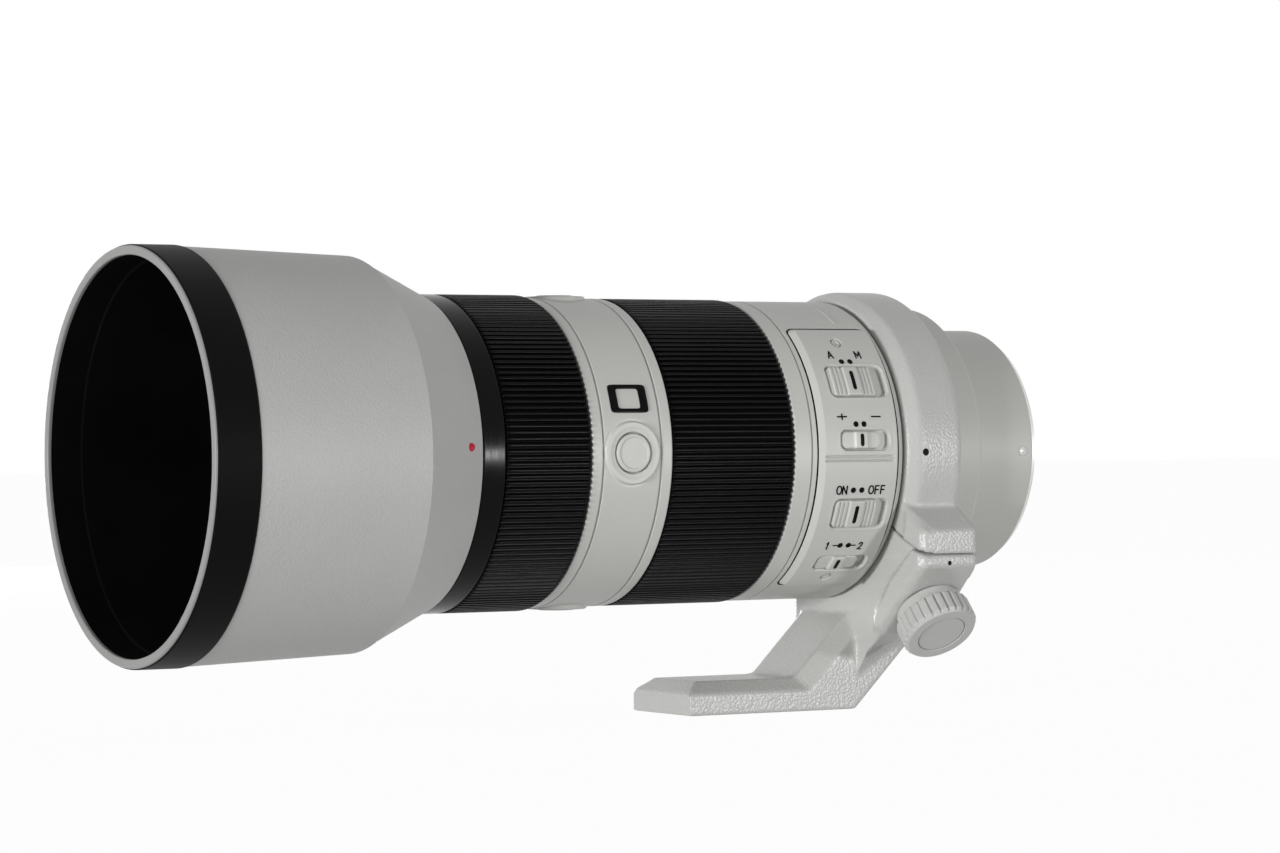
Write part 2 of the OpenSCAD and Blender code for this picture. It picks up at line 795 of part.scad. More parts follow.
// One hold button with a rounded edge
module hold_button(phi) {
    outward(phi, button_y, button_foot_r) rotate_extrude() polygon([
        [0, 0], [button_r, 0], [button_r, button_body_len - 0.4],
        [button_r - 0.4, button_body_len], [0, button_body_len]
    ]);
}

module side_button() {
    color("whitesmoke") hold_button(button_phis[0]);
}

module top_button() {
    color("whitesmoke") hold_button(button_phis[1]);
}

module lower_button() {
    color("whitesmoke") hold_button(button_phis[2]);
}

module badge_frame() {
    half = badge_w / 2 / band_r * 180 / PI;
    border = badge_border / band_r * 180 / PI;
    y0 = button_y - badge_len / 2;
    r0 = band_r + 0.02;
    color("black") difference() {
        arc_block(badge_phi - half, badge_phi + half, r0, r0 + badge_t, y0, y0 + badge_len, $fn = arc_facets);
        arc_block(badge_phi - half + border, badge_phi + half - border, r0 + badge_t / 2, r0 + 1,
                  y0 + badge_border, y0 + badge_len - badge_border, $fn = arc_facets);
    }
}

// Turning grips
// A ribbed tube with a plain lip at each end
module ribbed_grip(r, bore_r, y0, y1) {
    root_r = r - rib_depth;
    lip_r = root_r - lip_drop;
    step = 360 / rib_count;
    outline = [
        for (i = [0:rib_count - 1], k = [0:3])
            let (
                turn = step * (i + [0, 0.12, rib_share, rib_share + 0.12][k]),
                at = [root_r, r, r, root_r][k]
            )
            [at * cos(turn), at * sin(turn)]
    ];
    difference() {
        union() {
            translate([0, y0 + grip_lip, 0]) about_axis() linear_extrude(y1 - y0 - 2 * grip_lip) polygon(outline);
            revolve([
                [bore_r - 1, y0], [lip_r - 0.5, y0], [lip_r, y0 + 0.5], [lip_r, y1 - 0.5],
                [lip_r - 0.5, y1], [bore_r - 1, y1]
            ]);
        }
        ring(0, bore_r, y0 - eps, y1 + eps);
    }
}

module zoom_ring() {
    color("dimgray") difference() {
        ring(ring_bore_r, zoom_sleeve_r, zoom_y0, zoom_y1);
        radial_pin(zoom_key_phi, zoom_key_y, zoom_key_r + seat_fit, carrier_in_r, zoom_key_out_r + seat_fit);
    }
}

module zoom_grip() {
    color([0.08, 0.08, 0.08]) ribbed_grip(zoom_r, zoom_sleeve_r + seat_fit, zoom_y0, zoom_y1);
}

module focus_ring() {
    color("dimgray") ring(ring_bore_r, focus_sleeve_r, focus_y0, focus_y1);
}

module focus_grip() {
    color([0.08, 0.08, 0.08]) ribbed_grip(focus_r, focus_sleeve_r + seat_fit, focus_y0, focus_y1);
}

module zoom_key() {
    color("silver") radial_pin(zoom_key_phi, zoom_key_y, zoom_key_r, zoom_key_in_r, zoom_key_out_r);
}

// A helical slot through the cam tube: the follower moves by travel while the tube makes the zoom turn
module cam_slot(phi, y, travel) {
    room = follower_r + follower_gap;
    mid_r = (cam_in_r + cam_r) / 2;
    arc = mid_r * zoom_turn * PI / 180;
    half = room * sqrt(arc * arc + travel * travel) / abs(travel) / mid_r * 180 / PI;
    span = abs(travel) + 2 * room;
    turn = zoom_turn * span / abs(travel);
    lead = turn * room / span;
    start_y = travel > 0 ? y - room : y + travel - room;
    start_phi = travel > 0 ? phi + lead : phi - zoom_turn - lead;
    sweep = travel > 0 ? -turn : turn;
    r0 = cam_in_r - 1;
    r1 = (cam_r + 1) / cos(half / 2);
    translate([0, start_y, 0]) about_axis() rotate([0, 0, 180 + start_phi])
        linear_extrude(span, twist = -sweep, slices = 16, segments = 10) polygon([
            for (k = [-2:2]) [r0 * cos(k * half / 2), r0 * sin(k * half / 2)],
            for (k = [2:-1:-2]) [r1 * cos(k * half / 2), r1 * sin(k * half / 2)]
        ]);
}

module cam_tube() {
    color("darkkhaki") difference() {
        ring(cam_in_r, cam_r, cam_y0, cam_y1);
        for (phi = follower_phis) {
            cam_slot(phi, variator_y0 + variator_len / 2, -variator_travel);
            cam_slot(phi, compensator_y0 + compensator_len / 2, compensator_travel);
        }
        radial_pin(zoom_key_phi, zoom_key_y, zoom_key_r + seat_fit, cam_in_r - 1, cam_r + 1);
    }
}

// Guide tube with its straight slots
module guide_slot(phi, y, travel) {
    outward(phi, y + travel / 2, guide_in_r - 1) linear_extrude(guide_wall + 2)
        round_rect(2 * (follower_r + follower_gap), abs(travel) + 2 * (follower_r + follower_gap),
                   follower_r + follower_gap - 0.01);
}

module guide_tube() {
    color("darkkhaki") difference() {
        union() {
            ring(guide_in_r, guide_r, guide_y0, guide_y1);
            ring(guide_in_r, guide_rear_flange_r, guide_y0, guide_y0 + guide_flange_t);
            ring(guide_in_r, carrier_in_r - seat_fit, guide_y1 - guide_flange_t, guide_y1);
        }
        for (phi = follower_phis) {
            guide_slot(phi, variator_y0 + variator_len / 2, -variator_travel);
            guide_slot(phi, compensator_y0 + compensator_len / 2, compensator_travel);
        }
    }
}

// A lens cell with three cam followers
module cam_cell(y0, len) {
    difference() {
        union() {
            ring(glass_seat - 1.5, cell_r, y0, y0 + len);
            for (phi = follower_phis) {
                radial_pin(phi, y0 + len / 2, follower_r, cell_r - 2, cam_r);
            }
        }
        ring(0, glass_seat, y0 + 1, y0 + len + eps);
    }
}

module variator_cell() {
    color([0.15, 0.15, 0.15]) cam_cell(variator_y0, variator_len);
}

module variator_glass() {
    color([0.7, 0.85, 0.9, 0.5])
        lens(glass_seat - seat_fit, variator_y0 + 1, variator_y0 + variator_len - 1, -2, -2.4);
}

module compensator_cell() {
    color([0.15, 0.15, 0.15]) cam_cell(compensator_y0, compensator_len);
}

module compensator_glass() {
    color([0.7, 0.85, 0.9, 0.5])
        lens(glass_seat - seat_fit, compensator_y0 + 1, compensator_y0 + compensator_len - 3, -1.2, 2.2);
}

// Iris
module iris_housing() {
    color([0.12, 0.12, 0.12]) difference() {
        ring(iris_clear_r, inner_fit_r, iris_y0, iris_y0 + iris_len);
        ring(iris_clear_r - 1, inner_fit_r - 2, iris_y0 + 1.8, iris_y0 + iris_len - 1.8);
        for (phi = rod_phis) axial_pin(phi, rod_pcr, rod_r + seat_fit, iris_y0 - eps, iris_y0 + rod_bite);
    }
}

module iris_blades() {
    step = 360 / blade_count;
    mid = iris_y0 + iris_len / 2;
    color([0.05, 0.05, 0.05]) for (i = [0:blade_count - 1]) {
        arc_block(i * step, (i + 1) * step - blade_gap_deg, iris_open_r, inner_fit_r - 2.2,
                  mid - iris_blade_t / 2, mid + iris_blade_t / 2);
    }
}

// Focus group on its rods
module focus_rods() {
    color("silver") for (phi = rod_phis) {
        axial_pin(phi, rod_pcr, rod_r, steady_y1 - rod_bite, iris_y0 + rod_bite - 0.1);
    }
}

module focus_cell() {
    y1 = focus_cell_y0 + focus_len_cell;
    color([0.15, 0.15, 0.15]) difference() {
        union() {
            ring(focus_glass_r - 1.5, focus_cell_r, focus_cell_y0, y1);
            for (phi = rod_phis) {
                axial_pin(phi, rod_pcr, ear_r, focus_cell_y0, y1);
                rotate([0, phi, 0]) translate([-rod_pcr, focus_cell_y0, -ear_r])
                    cube([rod_pcr - focus_cell_r + 1, focus_len_cell, 2 * ear_r]);
            }
        }
        ring(0, focus_glass_r, focus_cell_y0 + 1, y1 + eps);
        for (phi = rod_phis) axial_pin(phi, rod_pcr, rod_r + ring_gap, focus_cell_y0 - eps, y1 + eps);
    }
}

module focus_glass() {
    color([0.7, 0.85, 0.9, 0.5])
        lens(focus_glass_r - seat_fit, focus_cell_y0 + 1 + glass_lift, focus_cell_y0 + focus_len_cell - 1, 1, -1.2);
}

module focus_motor() {
    color("saddlebrown") arc_block(motor_phi0, motor_phi1, motor_in_r, inner_fit_r,
                                   steady_y1 + 2, iris_y0 - 1.5);
}

// Stabiliser: a fixed box, a yoke that slides across and a cell that slides up and down
module stabiliser_housing() {
    color([0.2, 0.2, 0.2]) difference() {
        ring(steady_window_r, inner_fit_r, steady_y0, steady_y1);
        ring(steady_window_r - 1, steady_bore_r, steady_y0 + steady_wall, steady_y1 - steady_wall - 0.5);
        for (phi = rod_phis) axial_pin(phi, rod_pcr, rod_r + seat_fit, steady_y1 - rod_bite - 0.1, steady_y1 + eps);
    }
}

yoke_y0 = steady_y0 + steady_wall + slide_gap;
steady_cell_y0 = yoke_y0 + yoke_t + slide_gap;
steady_cell_y1 = steady_y1 - steady_wall - 0.5 - slide_gap;

module stabiliser_yoke() {
    color([0.3, 0.3, 0.3]) ring(yoke_window_r, yoke_r, yoke_y0, yoke_y0 + yoke_t);
}

module stabiliser_cell() {
    color([0.15, 0.15, 0.15]) ring(steady_glass_r + seat_fit, steady_cell_r, steady_cell_y0, steady_cell_y1);
}

module stabiliser_glass() {
    color([0.7, 0.85, 0.9, 0.5]) lens(steady_glass_r, yoke_y0 + 0.4, steady_cell_y1, 0.7, 0.6);
}

// Rear group and main board
module rear_cell() {
    color([0.12, 0.12, 0.12]) difference() {
        ring(rear_glass_r - 1.5, inner_fit_r, rear_cell_y0, rear_cell_y1);
        ring(0, rear_glass_r + seat_fit, rear_cell_y0 - eps, rear_cell_y1 - 1);
    }
}

module rear_glass() {
    color([0.7, 0.85, 0.9, 0.5]) lens(rear_glass_r, rear_cell_y0, rear_cell_y1 - 1, 1.2, -1);
}

module main_board() {
    color("darkgreen") ring(board_in_r, board_bore_r - 2 * ring_gap, board_y0, board_y0 + board_t);
}

// Front group
module front_barrel() {
    groove_y1 = spigot_groove_y0 + spigot_groove_w;
    color([0.08, 0.08, 0.08]) difference() {
        revolve([
            [barrel_bore_r, front_y0], [front_r - front_bevel, front_y0], [front_r, front_y0 + front_bevel],
            [front_r, spigot_y0 - front_bevel], [front_r - front_bevel, spigot_y0], [spigot_r, spigot_y0],
            [spigot_r, spigot_groove_y0], [spigot_groove_r, spigot_groove_y0], [spigot_groove_r, groove_y1],
            [spigot_r, groove_y1], [spigot_r, front_y1], [filter_r, front_y1], [filter_r, ledge_y + name_ring_t],
            [name_seat_r, ledge_y + name_ring_t], [name_seat_r, ledge_y], [ledge_r, ledge_y],
            [ledge_r, ledge_y - ledge_t], [barrel_bore_r, ledge_y - ledge_t]
        ]);
        for (phi = hood_lug_phis) {
            arc_block(phi - hood_turn - entry_half, phi - hood_turn + entry_half, spigot_groove_r + 0.1,
                      spigot_r + 1, groove_y1 - eps, front_y1 + eps);
        }
    }
}

module front_cell() {
    color([0.1, 0.1, 0.1]) difference() {
        ring(inner_glass_r - 2, carrier_in_r - seat_fit, front_cell_y0, front_cell_y1);
        ring(0, inner_glass_r + seat_fit, front_cell_y0 + inner_glass_ledge, front_cell_y1 + eps);
        ring(0, front_glass_r + seat_fit, front_cell_y1 - front_glass_seat, front_cell_y1 + eps);
    }
}

module front_glass() {
    color([0.6, 0.75, 0.85, 0.4])
        lens(front_glass_r, front_cell_y1 - front_glass_seat, front_cell_y1 - front_glass_recess, -1.6, 3);
}

module inner_glass() {
    color([0.6, 0.75, 0.85, 0.4])
        lens(inner_glass_r, front_cell_y0 + inner_glass_ledge + glass_lift,
             front_cell_y0 + inner_glass_ledge + inner_glass_len, 1.5, 1.6);
}

module name_ring() {
    color([0.06, 0.06, 0.06]) revolve([
        [name_ring_in_r, ledge_y - name_ring_slope], [ledge_r - seat_fit, ledge_y],
        [name_seat_r - seat_fit, ledge_y], [name_seat_r - seat_fit, ledge_y + name_ring_t],
        [name_seat_r - name_ring_rim, ledge_y + name_ring_t], [name_ring_in_r, ledge_y - name_ring_slope + name_ring_t]
    ]);
}

// Hood
module hood_shell() {
    lug_y0 = spigot_groove_y0 + slide_gap;
    lug_y1 = spigot_groove_y0 + spigot_groove_w - slide_gap;
    color("whitesmoke") difference() {
        union() {
            revolve([
                [hood_bore_r, hood_y0], [hood_rear_r, hood_y0], [hood_crease_r, hood_cone_y1],
                [hood_front_r, bumper_y0], [bumper_in_r - seat_fit, bumper_y0],
                [bumper_in_r - seat_fit, rim_y0], [hood_in_r, rim_y0], [hood_crease_in_r, hood_cone_y1],
                [hood_bore_r, hood_throat_y]
            ]);
            for (phi = hood_lug_phis) {
                arc_block(phi - hood_lug_half, phi + hood_lug_half, hood_lug_r, hood_bore_r + 0.4, lug_y0, lug_y1);
            }
        }
        bead(hood_dot_phi, hood_dot_y, hood_dot_surface - 0.3, hood_dot_r + seat_fit);
    }
}

module hood_bumper() {
    color([0.06, 0.06, 0.06]) revolve([
        [bumper_in_r, bumper_y0], [bumper_out_r - bumper_round, bumper_y0],
        [bumper_out_r, bumper_y0 + bumper_round], [bumper_out_r, rim_y0 - bumper_round],
        [bumper_out_r - bumper_round, rim_y0], [bumper_in_r, rim_y0]
    ]);
}

module hood_rim() {
    color("lightgray") revolve([
        [hood_in_r, rim_y0], [bumper_out_r - 0.1, rim_y0], [bumper_out_r - 0.1, hood_y1 - 0.5],
        [bumper_out_r - 0.6, hood_y1], [hood_in_r + 0.4, hood_y1], [hood_in_r, hood_y1 - 0.4]
    ]);
}

// Inner radius of the hood's front cone at a station
function hood_inner(y) = hood_crease_in_r
    + (hood_in_r - hood_crease_in_r) * (y - hood_cone_y1) / (rim_y0 - hood_cone_y1);

module hood_lining() {
    outer0 = hood_inner(lining_y0) - seat_fit;
    outer1 = hood_inner(lining_y1) - seat_fit;
    color([0.03, 0.03, 0.03]) revolve([
        [outer0 - lining_t, lining_y0], [outer0, lining_y0], [outer1, lining_y1], [outer1 - lining_t, lining_y1]
    ]);
}

module hood_dot() {
    color("red") bead(hood_dot_phi, hood_dot_y, hood_dot_surface - 0.3, hood_dot_r);
}

// Tripod collar
// Half of the ring, with its bore still to be cut
module collar_ring(phi0, phi1) {
    blank_r = collar_in_r - 1;
    sector(phi0, phi1, [
        [blank_r, collar_y0], [collar_out_r - collar_rear_bevel, collar_y0],
        [collar_out_r, collar_y0 + collar_rear_bevel], [collar_out_r, collar_y1 - collar_front_bevel_w],
        [collar_out_r - collar_front_bevel_h, collar_y1], [blank_r, collar_y1]
    ]);
}

// Plan of the clamp blocks, with their front corner bevelled
module block_plan() {
    x0 = block_corner[0];
    translate([0, 0, -reach / 2]) linear_extrude(reach) polygon([
        [x0, block_y0 + block_heel_bevel], [x0 + 3 * block_heel_bevel, block_y0], [0, block_y0], [0, block_y1],
        [x0 + block_bevel_x, block_y1], [x0, block_y1 - block_bevel_y]
    ]);
}

// Hinge axis
module hinge_cylinder(r, y0, y1) {
    axial_pin(hinge_phi, hinge_r, r, y0, y1);
}

knuckle_mid0 = collar_y0 + knuckle_third;
knuckle_mid1 = collar_y1 - knuckle_third;

module collar_arch() {
    color("gainsboro") difference() {
        union() {
            collar_ring(split_phi, hinge_phi);
            intersection() {
                xz_extrude(collar_y0 - 1, collar_y1 + 1) polygon([
                    upper_block_root, [block_corner[0], block_corner[1] + upper_block_rise], seam_end,
                    seam_bend, block_corner * (block_root_r / block_corner_r)
                ]);
                block_plan();
            }
            hinge_cylinder(knuckle_r, collar_y0, knuckle_mid0 - knuckle_gap / 2);
            hinge_cylinder(knuckle_r, knuckle_mid1 + knuckle_gap / 2, collar_y1);
        }
        ring(0, collar_in_r, collar_y0 - 1, collar_y1 + 1);
        arch_side_cut();
        hinge_cylinder(knuckle_clear, knuckle_mid0, knuckle_mid1);
        hinge_cylinder(hinge_pin_r + seat_fit, collar_y0 - 1, collar_y1 + 1);
    }
}

// The split lies on a plane through the axis and the hinge, bends in the blocks and ends short of the knuckles
module arch_side_cut() {
    rotate([0, split_phi, 0]) translate([-collar_out_r - seam_half, collar_y0 - 1, -seam_half])
        cube([collar_out_r, collar_w + 2, seam_w]);
    translate([seam_bend[0], collar_y0 - 1, seam_bend[1]]) rotate([0, seam_end_phi, 0])
        translate([-reach / 2, 0, -seam_half]) cube([reach / 2 + seam_half, collar_w + 2, seam_w]);
    rotate([0, split_phi, 0]) translate([0, collar_y0 - 1, -seam_half])
        cube([hinge_r - knuckle_r + seam_w, collar_w + 2, seam_w]);
}

module collar_foot() {
    color("gainsboro") difference() {
        union() {
            collar_ring(hinge_phi, hinge_phi + 180);
            lower_block();
            foot();
            hinge_cylinder(knuckle_r, knuckle_mid0 + knuckle_gap / 2, knuckle_mid1 - knuckle_gap / 2);
        }
        ring(0, collar_in_r, collar_y0 - 1, collar_y1 + 1);
        arch_side_cut();
        hinge_cylinder(knuckle_clear, collar_y0 - 1, knuckle_mid0);
        hinge_cylinder(knuckle_clear, knuckle_mid1, collar_y1 + 1);
        hinge_cylinder(hinge_pin_r + seat_fit, collar_y0 - 1, collar_y1 + 1);
        radial_pin(knob_phi, collar_mid, clamp_screw_r + seat_fit, collar_in_r - 2, knob_seat_r + 1);
        translate([0, tripod_y, -foot_drop - eps]) cylinder(r = bush_r + seat_fit, h = tripod_depth + eps);
    }
}

// The block under the knob, down to the foot's neck
module lower_block() {
    intersection() {
        xz_extrude(collar_y0 - 1, collar_y1 + 1) polygon([
            seam_end, block_corner, [block_heel_x, block_heel_z], [-block_heel_half, block_heel_low],
            [-block_heel_half, neck_top_z], block_corner * (block_root_r / block_corner_r), seam_bend
        ]);
        block_plan();
    }
}

// Side outline of the neck, the sloped arm and the shoe, in Y and Z
module foot_outline() {
    corner = [arm_sum - shoe_top_z + foot_fillet_r * tan(22.5), shoe_top_z + foot_fillet_r];
    polygon(concat(
        [
            [neck_y1, neck_top_z], [neck_y0, neck_top_z], [neck_y0, shoe_y0 - foot_drop - neck_y0],
            [shoe_y0, -foot_drop], [shoe_y1, -foot_drop], [shoe_y1, shoe_side_z],
            [shoe_y1 - shoe_bevel_w, shoe_top_z]
        ],
        [for (a = [-90:-9:-135]) corner + foot_fillet_r * [cos(a), sin(a)]],
        [[neck_y1, arm_sum - neck_y1]]
    ));
}

// What the bevel along one top edge of the arm and the shoe takes away
module foot_edge_cut(side) {
    near_x = side * (foot_top_half - foot_over);
    far_x = side * (foot_half + foot_over);
    arm_slope = (arm_ridge - arm_rise) / shoe_bevel_w * foot_over;
    shoe_slope = shoe_bevel_h / shoe_bevel_w * foot_over;
    intersection() {
        rotate([45, 0, 0]) translate([0, 0, -reach]) linear_extrude(2 * reach) polygon([
            [near_x, arm_under + arm_ridge + arm_slope], [far_x, arm_under + arm_rise - arm_slope],
            [far_x, reach], [near_x, reach]
        ]);
        xz_extrude(neck_y1 + step_in * 4, shoe_y1 + foot_over) polygon([
            [near_x, shoe_top_z + shoe_slope], [far_x, shoe_side_z - shoe_slope],
            [far_x, neck_top_z + foot_over], [near_x, neck_top_z + foot_over]
        ]);
    }
}

module foot() {
    difference() {
        yz_extrude(foot_w) foot_outline();
        foot_edge_cut(-1);
        foot_edge_cut(1);
    }
}

module hinge_pin() {
    color("silver") hinge_cylinder(hinge_pin_r, collar_y0, collar_y1);
}

module tripod_bush() {
    color("silver") translate([0, tripod_y, -foot_drop]) difference() {
        cylinder(r = bush_r, h = tripod_depth);
        translate([0, 0, -eps]) cylinder(r = tripod_thread_r, h = tripod_depth + 2 * eps);
    }
}

// Clamp knob with its screw
module clamp_knob() {
    grip_r0 = knob_neck_y0 + knob_neck_len;
    color("gainsboro") difference() {
        union() {
            radial_pin(knob_phi, collar_mid, clamp_screw_r, clamp_screw_tip_r, grip_r0);
            radial_pin(knob_phi, collar_mid, knob_neck_r, knob_neck_y0, grip_r0);
            outward(knob_phi, collar_mid, grip_r0) rotate_extrude() polygon([
                [0, 0], [knob_r - 0.5, 0], [knob_r, 0.5], [knob_r, knob_grip_w - 0.8],
                [knob_r - 0.8, knob_grip_w], [0, knob_grip_w]
            ]);
        }
        outward(knob_phi, collar_mid, grip_r0 - eps) for (i = [0:flute_count - 1]) {
            rotate([0, 0, i * 360 / flute_count]) translate([knob_r + 0.1, 0, 0])
                cylinder(r = flute_r, h = knob_grip_w + 2 * eps);
        }
        radial_pin(knob_phi, collar_mid, knob_face_r, grip_r0 + knob_grip_w - knob_face_sink, grip_r0 + knob_grip_w + 1);
    }
}

mount_ring();
mount_screws();
mount_dot();
rear_baffle();
contact_block();
contact_pins();
rear_barrel();
main_barrel();
switch_panel();
panel_screws();
carrier_tube();
button_band();
badge_frame();
front_barrel();
front_cell();
front_glass();
inner_glass();
name_ring();
guide_tube();
iris_housing();
iris_blades();
focus_rods();
focus_motor();
stabiliser_housing();
rear_cell();
rear_glass();
main_board();
hood_shell();
hood_bumper();
hood_rim();
hood_lining();
hood_dot();
focus_ring();
focus_grip();
zoom_ring();
zoom_grip();
zoom_key();
cam_tube();
variator_cell();
variator_glass();
compensator_cell();
compensator_glass();
focus_cell();
focus_glass();
stabiliser_yoke();
stabiliser_cell();
stabiliser_glass();
focus_switch();
range_switch();
stabiliser_switch();
mode_switch();
side_button();
top_button();
lower_button();
collar_foot();
hinge_pin();
tripod_bush();
collar_arch();
clamp_knob();
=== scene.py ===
"""Dresses the frame of a white telephoto zoom lens: detailed pieces, finishes, marks and a plain stage."""
import json
import math

import bmesh
import bpy
import numpy as np
from bpy.props import FloatProperty, FloatVectorProperty, IntProperty, PointerProperty
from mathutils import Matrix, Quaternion, Vector


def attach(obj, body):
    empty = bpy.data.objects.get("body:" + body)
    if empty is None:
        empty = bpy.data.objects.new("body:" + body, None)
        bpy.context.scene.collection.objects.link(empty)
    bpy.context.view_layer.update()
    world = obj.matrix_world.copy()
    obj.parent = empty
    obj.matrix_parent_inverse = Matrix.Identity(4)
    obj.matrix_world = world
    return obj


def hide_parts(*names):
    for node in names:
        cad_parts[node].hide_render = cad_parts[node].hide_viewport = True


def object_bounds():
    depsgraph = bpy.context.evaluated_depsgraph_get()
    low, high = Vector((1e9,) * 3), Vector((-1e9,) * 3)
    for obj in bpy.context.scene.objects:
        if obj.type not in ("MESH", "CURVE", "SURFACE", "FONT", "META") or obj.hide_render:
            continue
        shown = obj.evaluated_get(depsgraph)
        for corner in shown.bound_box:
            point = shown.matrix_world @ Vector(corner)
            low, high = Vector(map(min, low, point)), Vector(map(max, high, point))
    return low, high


bl_info = {
    "name": "Telephoto Zoom Lens",
    "version": (1, 0, 0),
    "blender": (4, 5, 0),
    "location": "View3D > Sidebar > Zoom Lens",
    "description": "Dresses the zoom lens frame with detailed pieces, finishes and a stage",
    "category": "Object",
}

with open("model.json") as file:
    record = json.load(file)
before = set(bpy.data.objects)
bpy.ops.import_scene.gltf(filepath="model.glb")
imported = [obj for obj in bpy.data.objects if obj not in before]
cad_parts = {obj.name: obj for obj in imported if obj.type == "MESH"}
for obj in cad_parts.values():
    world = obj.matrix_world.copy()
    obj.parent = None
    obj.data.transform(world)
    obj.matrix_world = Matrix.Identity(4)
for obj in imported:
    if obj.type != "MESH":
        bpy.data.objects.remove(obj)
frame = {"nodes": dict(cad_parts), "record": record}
CAD_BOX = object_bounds()
MM = 0.001
NODE_SLOT = {part["node"]: part["material_slot"] for part in frame["record"]["subparts"]}


# Measures of the frame, in millimetres. Turns are in degrees: 0 at the switch side, 90 at the top.

def node_points(node):
    """All corners of a node's mesh as an array, in millimetres."""
    mesh = frame["nodes"][node].data
    flat = np.empty(len(mesh.vertices) * 3)
    mesh.vertices.foreach_get("co", flat)
    return flat.reshape(-1, 3) / MM


def radii(node):
    """Distance of every corner of a node from the axis."""
    return np.hypot(*node_points(node)[:, [0, 2]].T)


def stations(node):
    """First and last station of a node along the axis, and its largest radius."""
    along = node_points(node)[:, 1]
    return float(along.min()), float(along.max()), float(radii(node).max())


def middle_of(node):
    """Turn, station and radius of the middle of a node's corners."""
    x, y, z = node_points(node).mean(0)
    return math.degrees(math.atan2(z, -x)), y, np.hypot(x, z)


HOOD_Y0, _, HOOD_R = stations("hood_shell")
BUMPER_Y0, _, BUMPER_R = stations("hood_bumper")
RIM_Y0, RIM_Y1, RIM_R = stations("hood_rim")
_, LINING_Y1, _ = stations("hood_lining")
FRONT_Y0, FRONT_Y1, FRONT_R = stations("front_barrel")
FOCUS_Y0, FOCUS_Y1, FOCUS_R = stations("focus_grip")
ZOOM_Y0, ZOOM_Y1, ZOOM_R = stations("zoom_grip")
BAND_Y0, BAND_Y1, _ = stations("button_band")
MAIN_Y0, MAIN_Y1, BARREL_R = stations("main_barrel")
REAR_Y0, REAR_Y1, SHOULDER_R = stations("rear_barrel")
PANEL_Y0, PANEL_Y1, PANEL_R = stations("switch_panel")
NAME_Y0, NAME_Y1, NAME_R = stations("name_ring")
COLLAR_Y0, COLLAR_Y1, _ = stations("collar_arch")
COLLAR_OUT_R = float(node_points("collar_arch")[:, 2].max())
BOSS_TOP = -float(node_points("button_band")[:, 0].min())
BUTTON_TOP = -float(node_points("side_button")[:, 0].min())
BLOCK_FACE = -float(node_points("collar_foot")[:, 0].min())
BARREL_BORE_R = float(radii("main_barrel").min())
NAME_BORE_R = float(radii("name_ring").min())

BAND_R = 39.3
CREASE_Y = HOOD_Y0 + 18.2
CREASE_R = HOOD_R - 1.7
HOOD_REAR_R = FRONT_R + 0.25
HOOD_WALL = 2.2
SPIGOT_Y = FRONT_Y1 - 5.0
SPIGOT_R = FRONT_R - 1.5
FILTER_R = 36.0
REAR_R = 31.7
SEAT_R = 36.5
SEAT_Y = MAIN_Y0 - 17.0
SHOULDER_Y = SEAT_Y - 8.2
BUTTON_Y = (BAND_Y0 + BAND_Y1) / 2
BUTTON_TURNS = (("side", 0), ("top", 90), ("lower", -90))
BUTTON_R = 4.8
BOSS_ROUND_R = 8.0
PANEL_TURN = (-62.0, 53.0)
PANEL_MID_TURN = sum(PANEL_TURN) / 2
PANEL_HALF_S = math.radians(PANEL_TURN[1] - PANEL_TURN[0]) / 2 * PANEL_R
PANEL_MID_Y = (PANEL_Y0 + PANEL_Y1) / 2
PANEL_HALF_Y = (PANEL_Y1 - PANEL_Y0) / 2
PANEL_CORNER = 2.2
PANEL_BEVEL = 1.5
PANEL_BEVEL_DROP = 1.0
PANEL_GAP = 0.5
PANEL_FLOOR_R = BARREL_R - 0.9
SWITCH_Y = PANEL_Y0 + 10.3
SWITCH_TRAVEL = 2.4
POCKET_CORNER = 1.9
POCKET_DEPTH = 1.6
SLIDE_GAP = 0.3
# Each switch: body, turn, pocket length, pocket width, ribs on each side of the ridge
SWITCHES = {
    "focus_switch": ("focus_slider", 26.5, 17.4, 9.0, 3),
    "range_switch": ("range_slider", 3.9, 14.9, 5.3, 0),
    "stabiliser_switch": ("stabiliser_slider", -23.9, 16.2, 8.3, 3),
    "mode_switch": ("mode_slider", -46.3, 15.5, 5.5, 0),
}
PANEL_SCREW_TURNS = (43.9, -54.5)
WELL_R = 1.58
WELL_DEPTH = 1.1
DIVIDER_TURN = -2.9
DIVIDER_OFFSET = 0.55
DIVIDER_DEPTH = 0.6
KNOB_TURN = -48.0
KNOB_Y = (COLLAR_Y0 + COLLAR_Y1) / 2
GRIP_WALL = 1.7
GROOVE_DEPTH = 0.7
GROOVE_HALF = 0.28
ROUND = 384


# Meshes

def full_turn(count=ROUND):
    """Evenly spaced turns once round the axis."""
    return np.arange(count) * (360.0 / count)


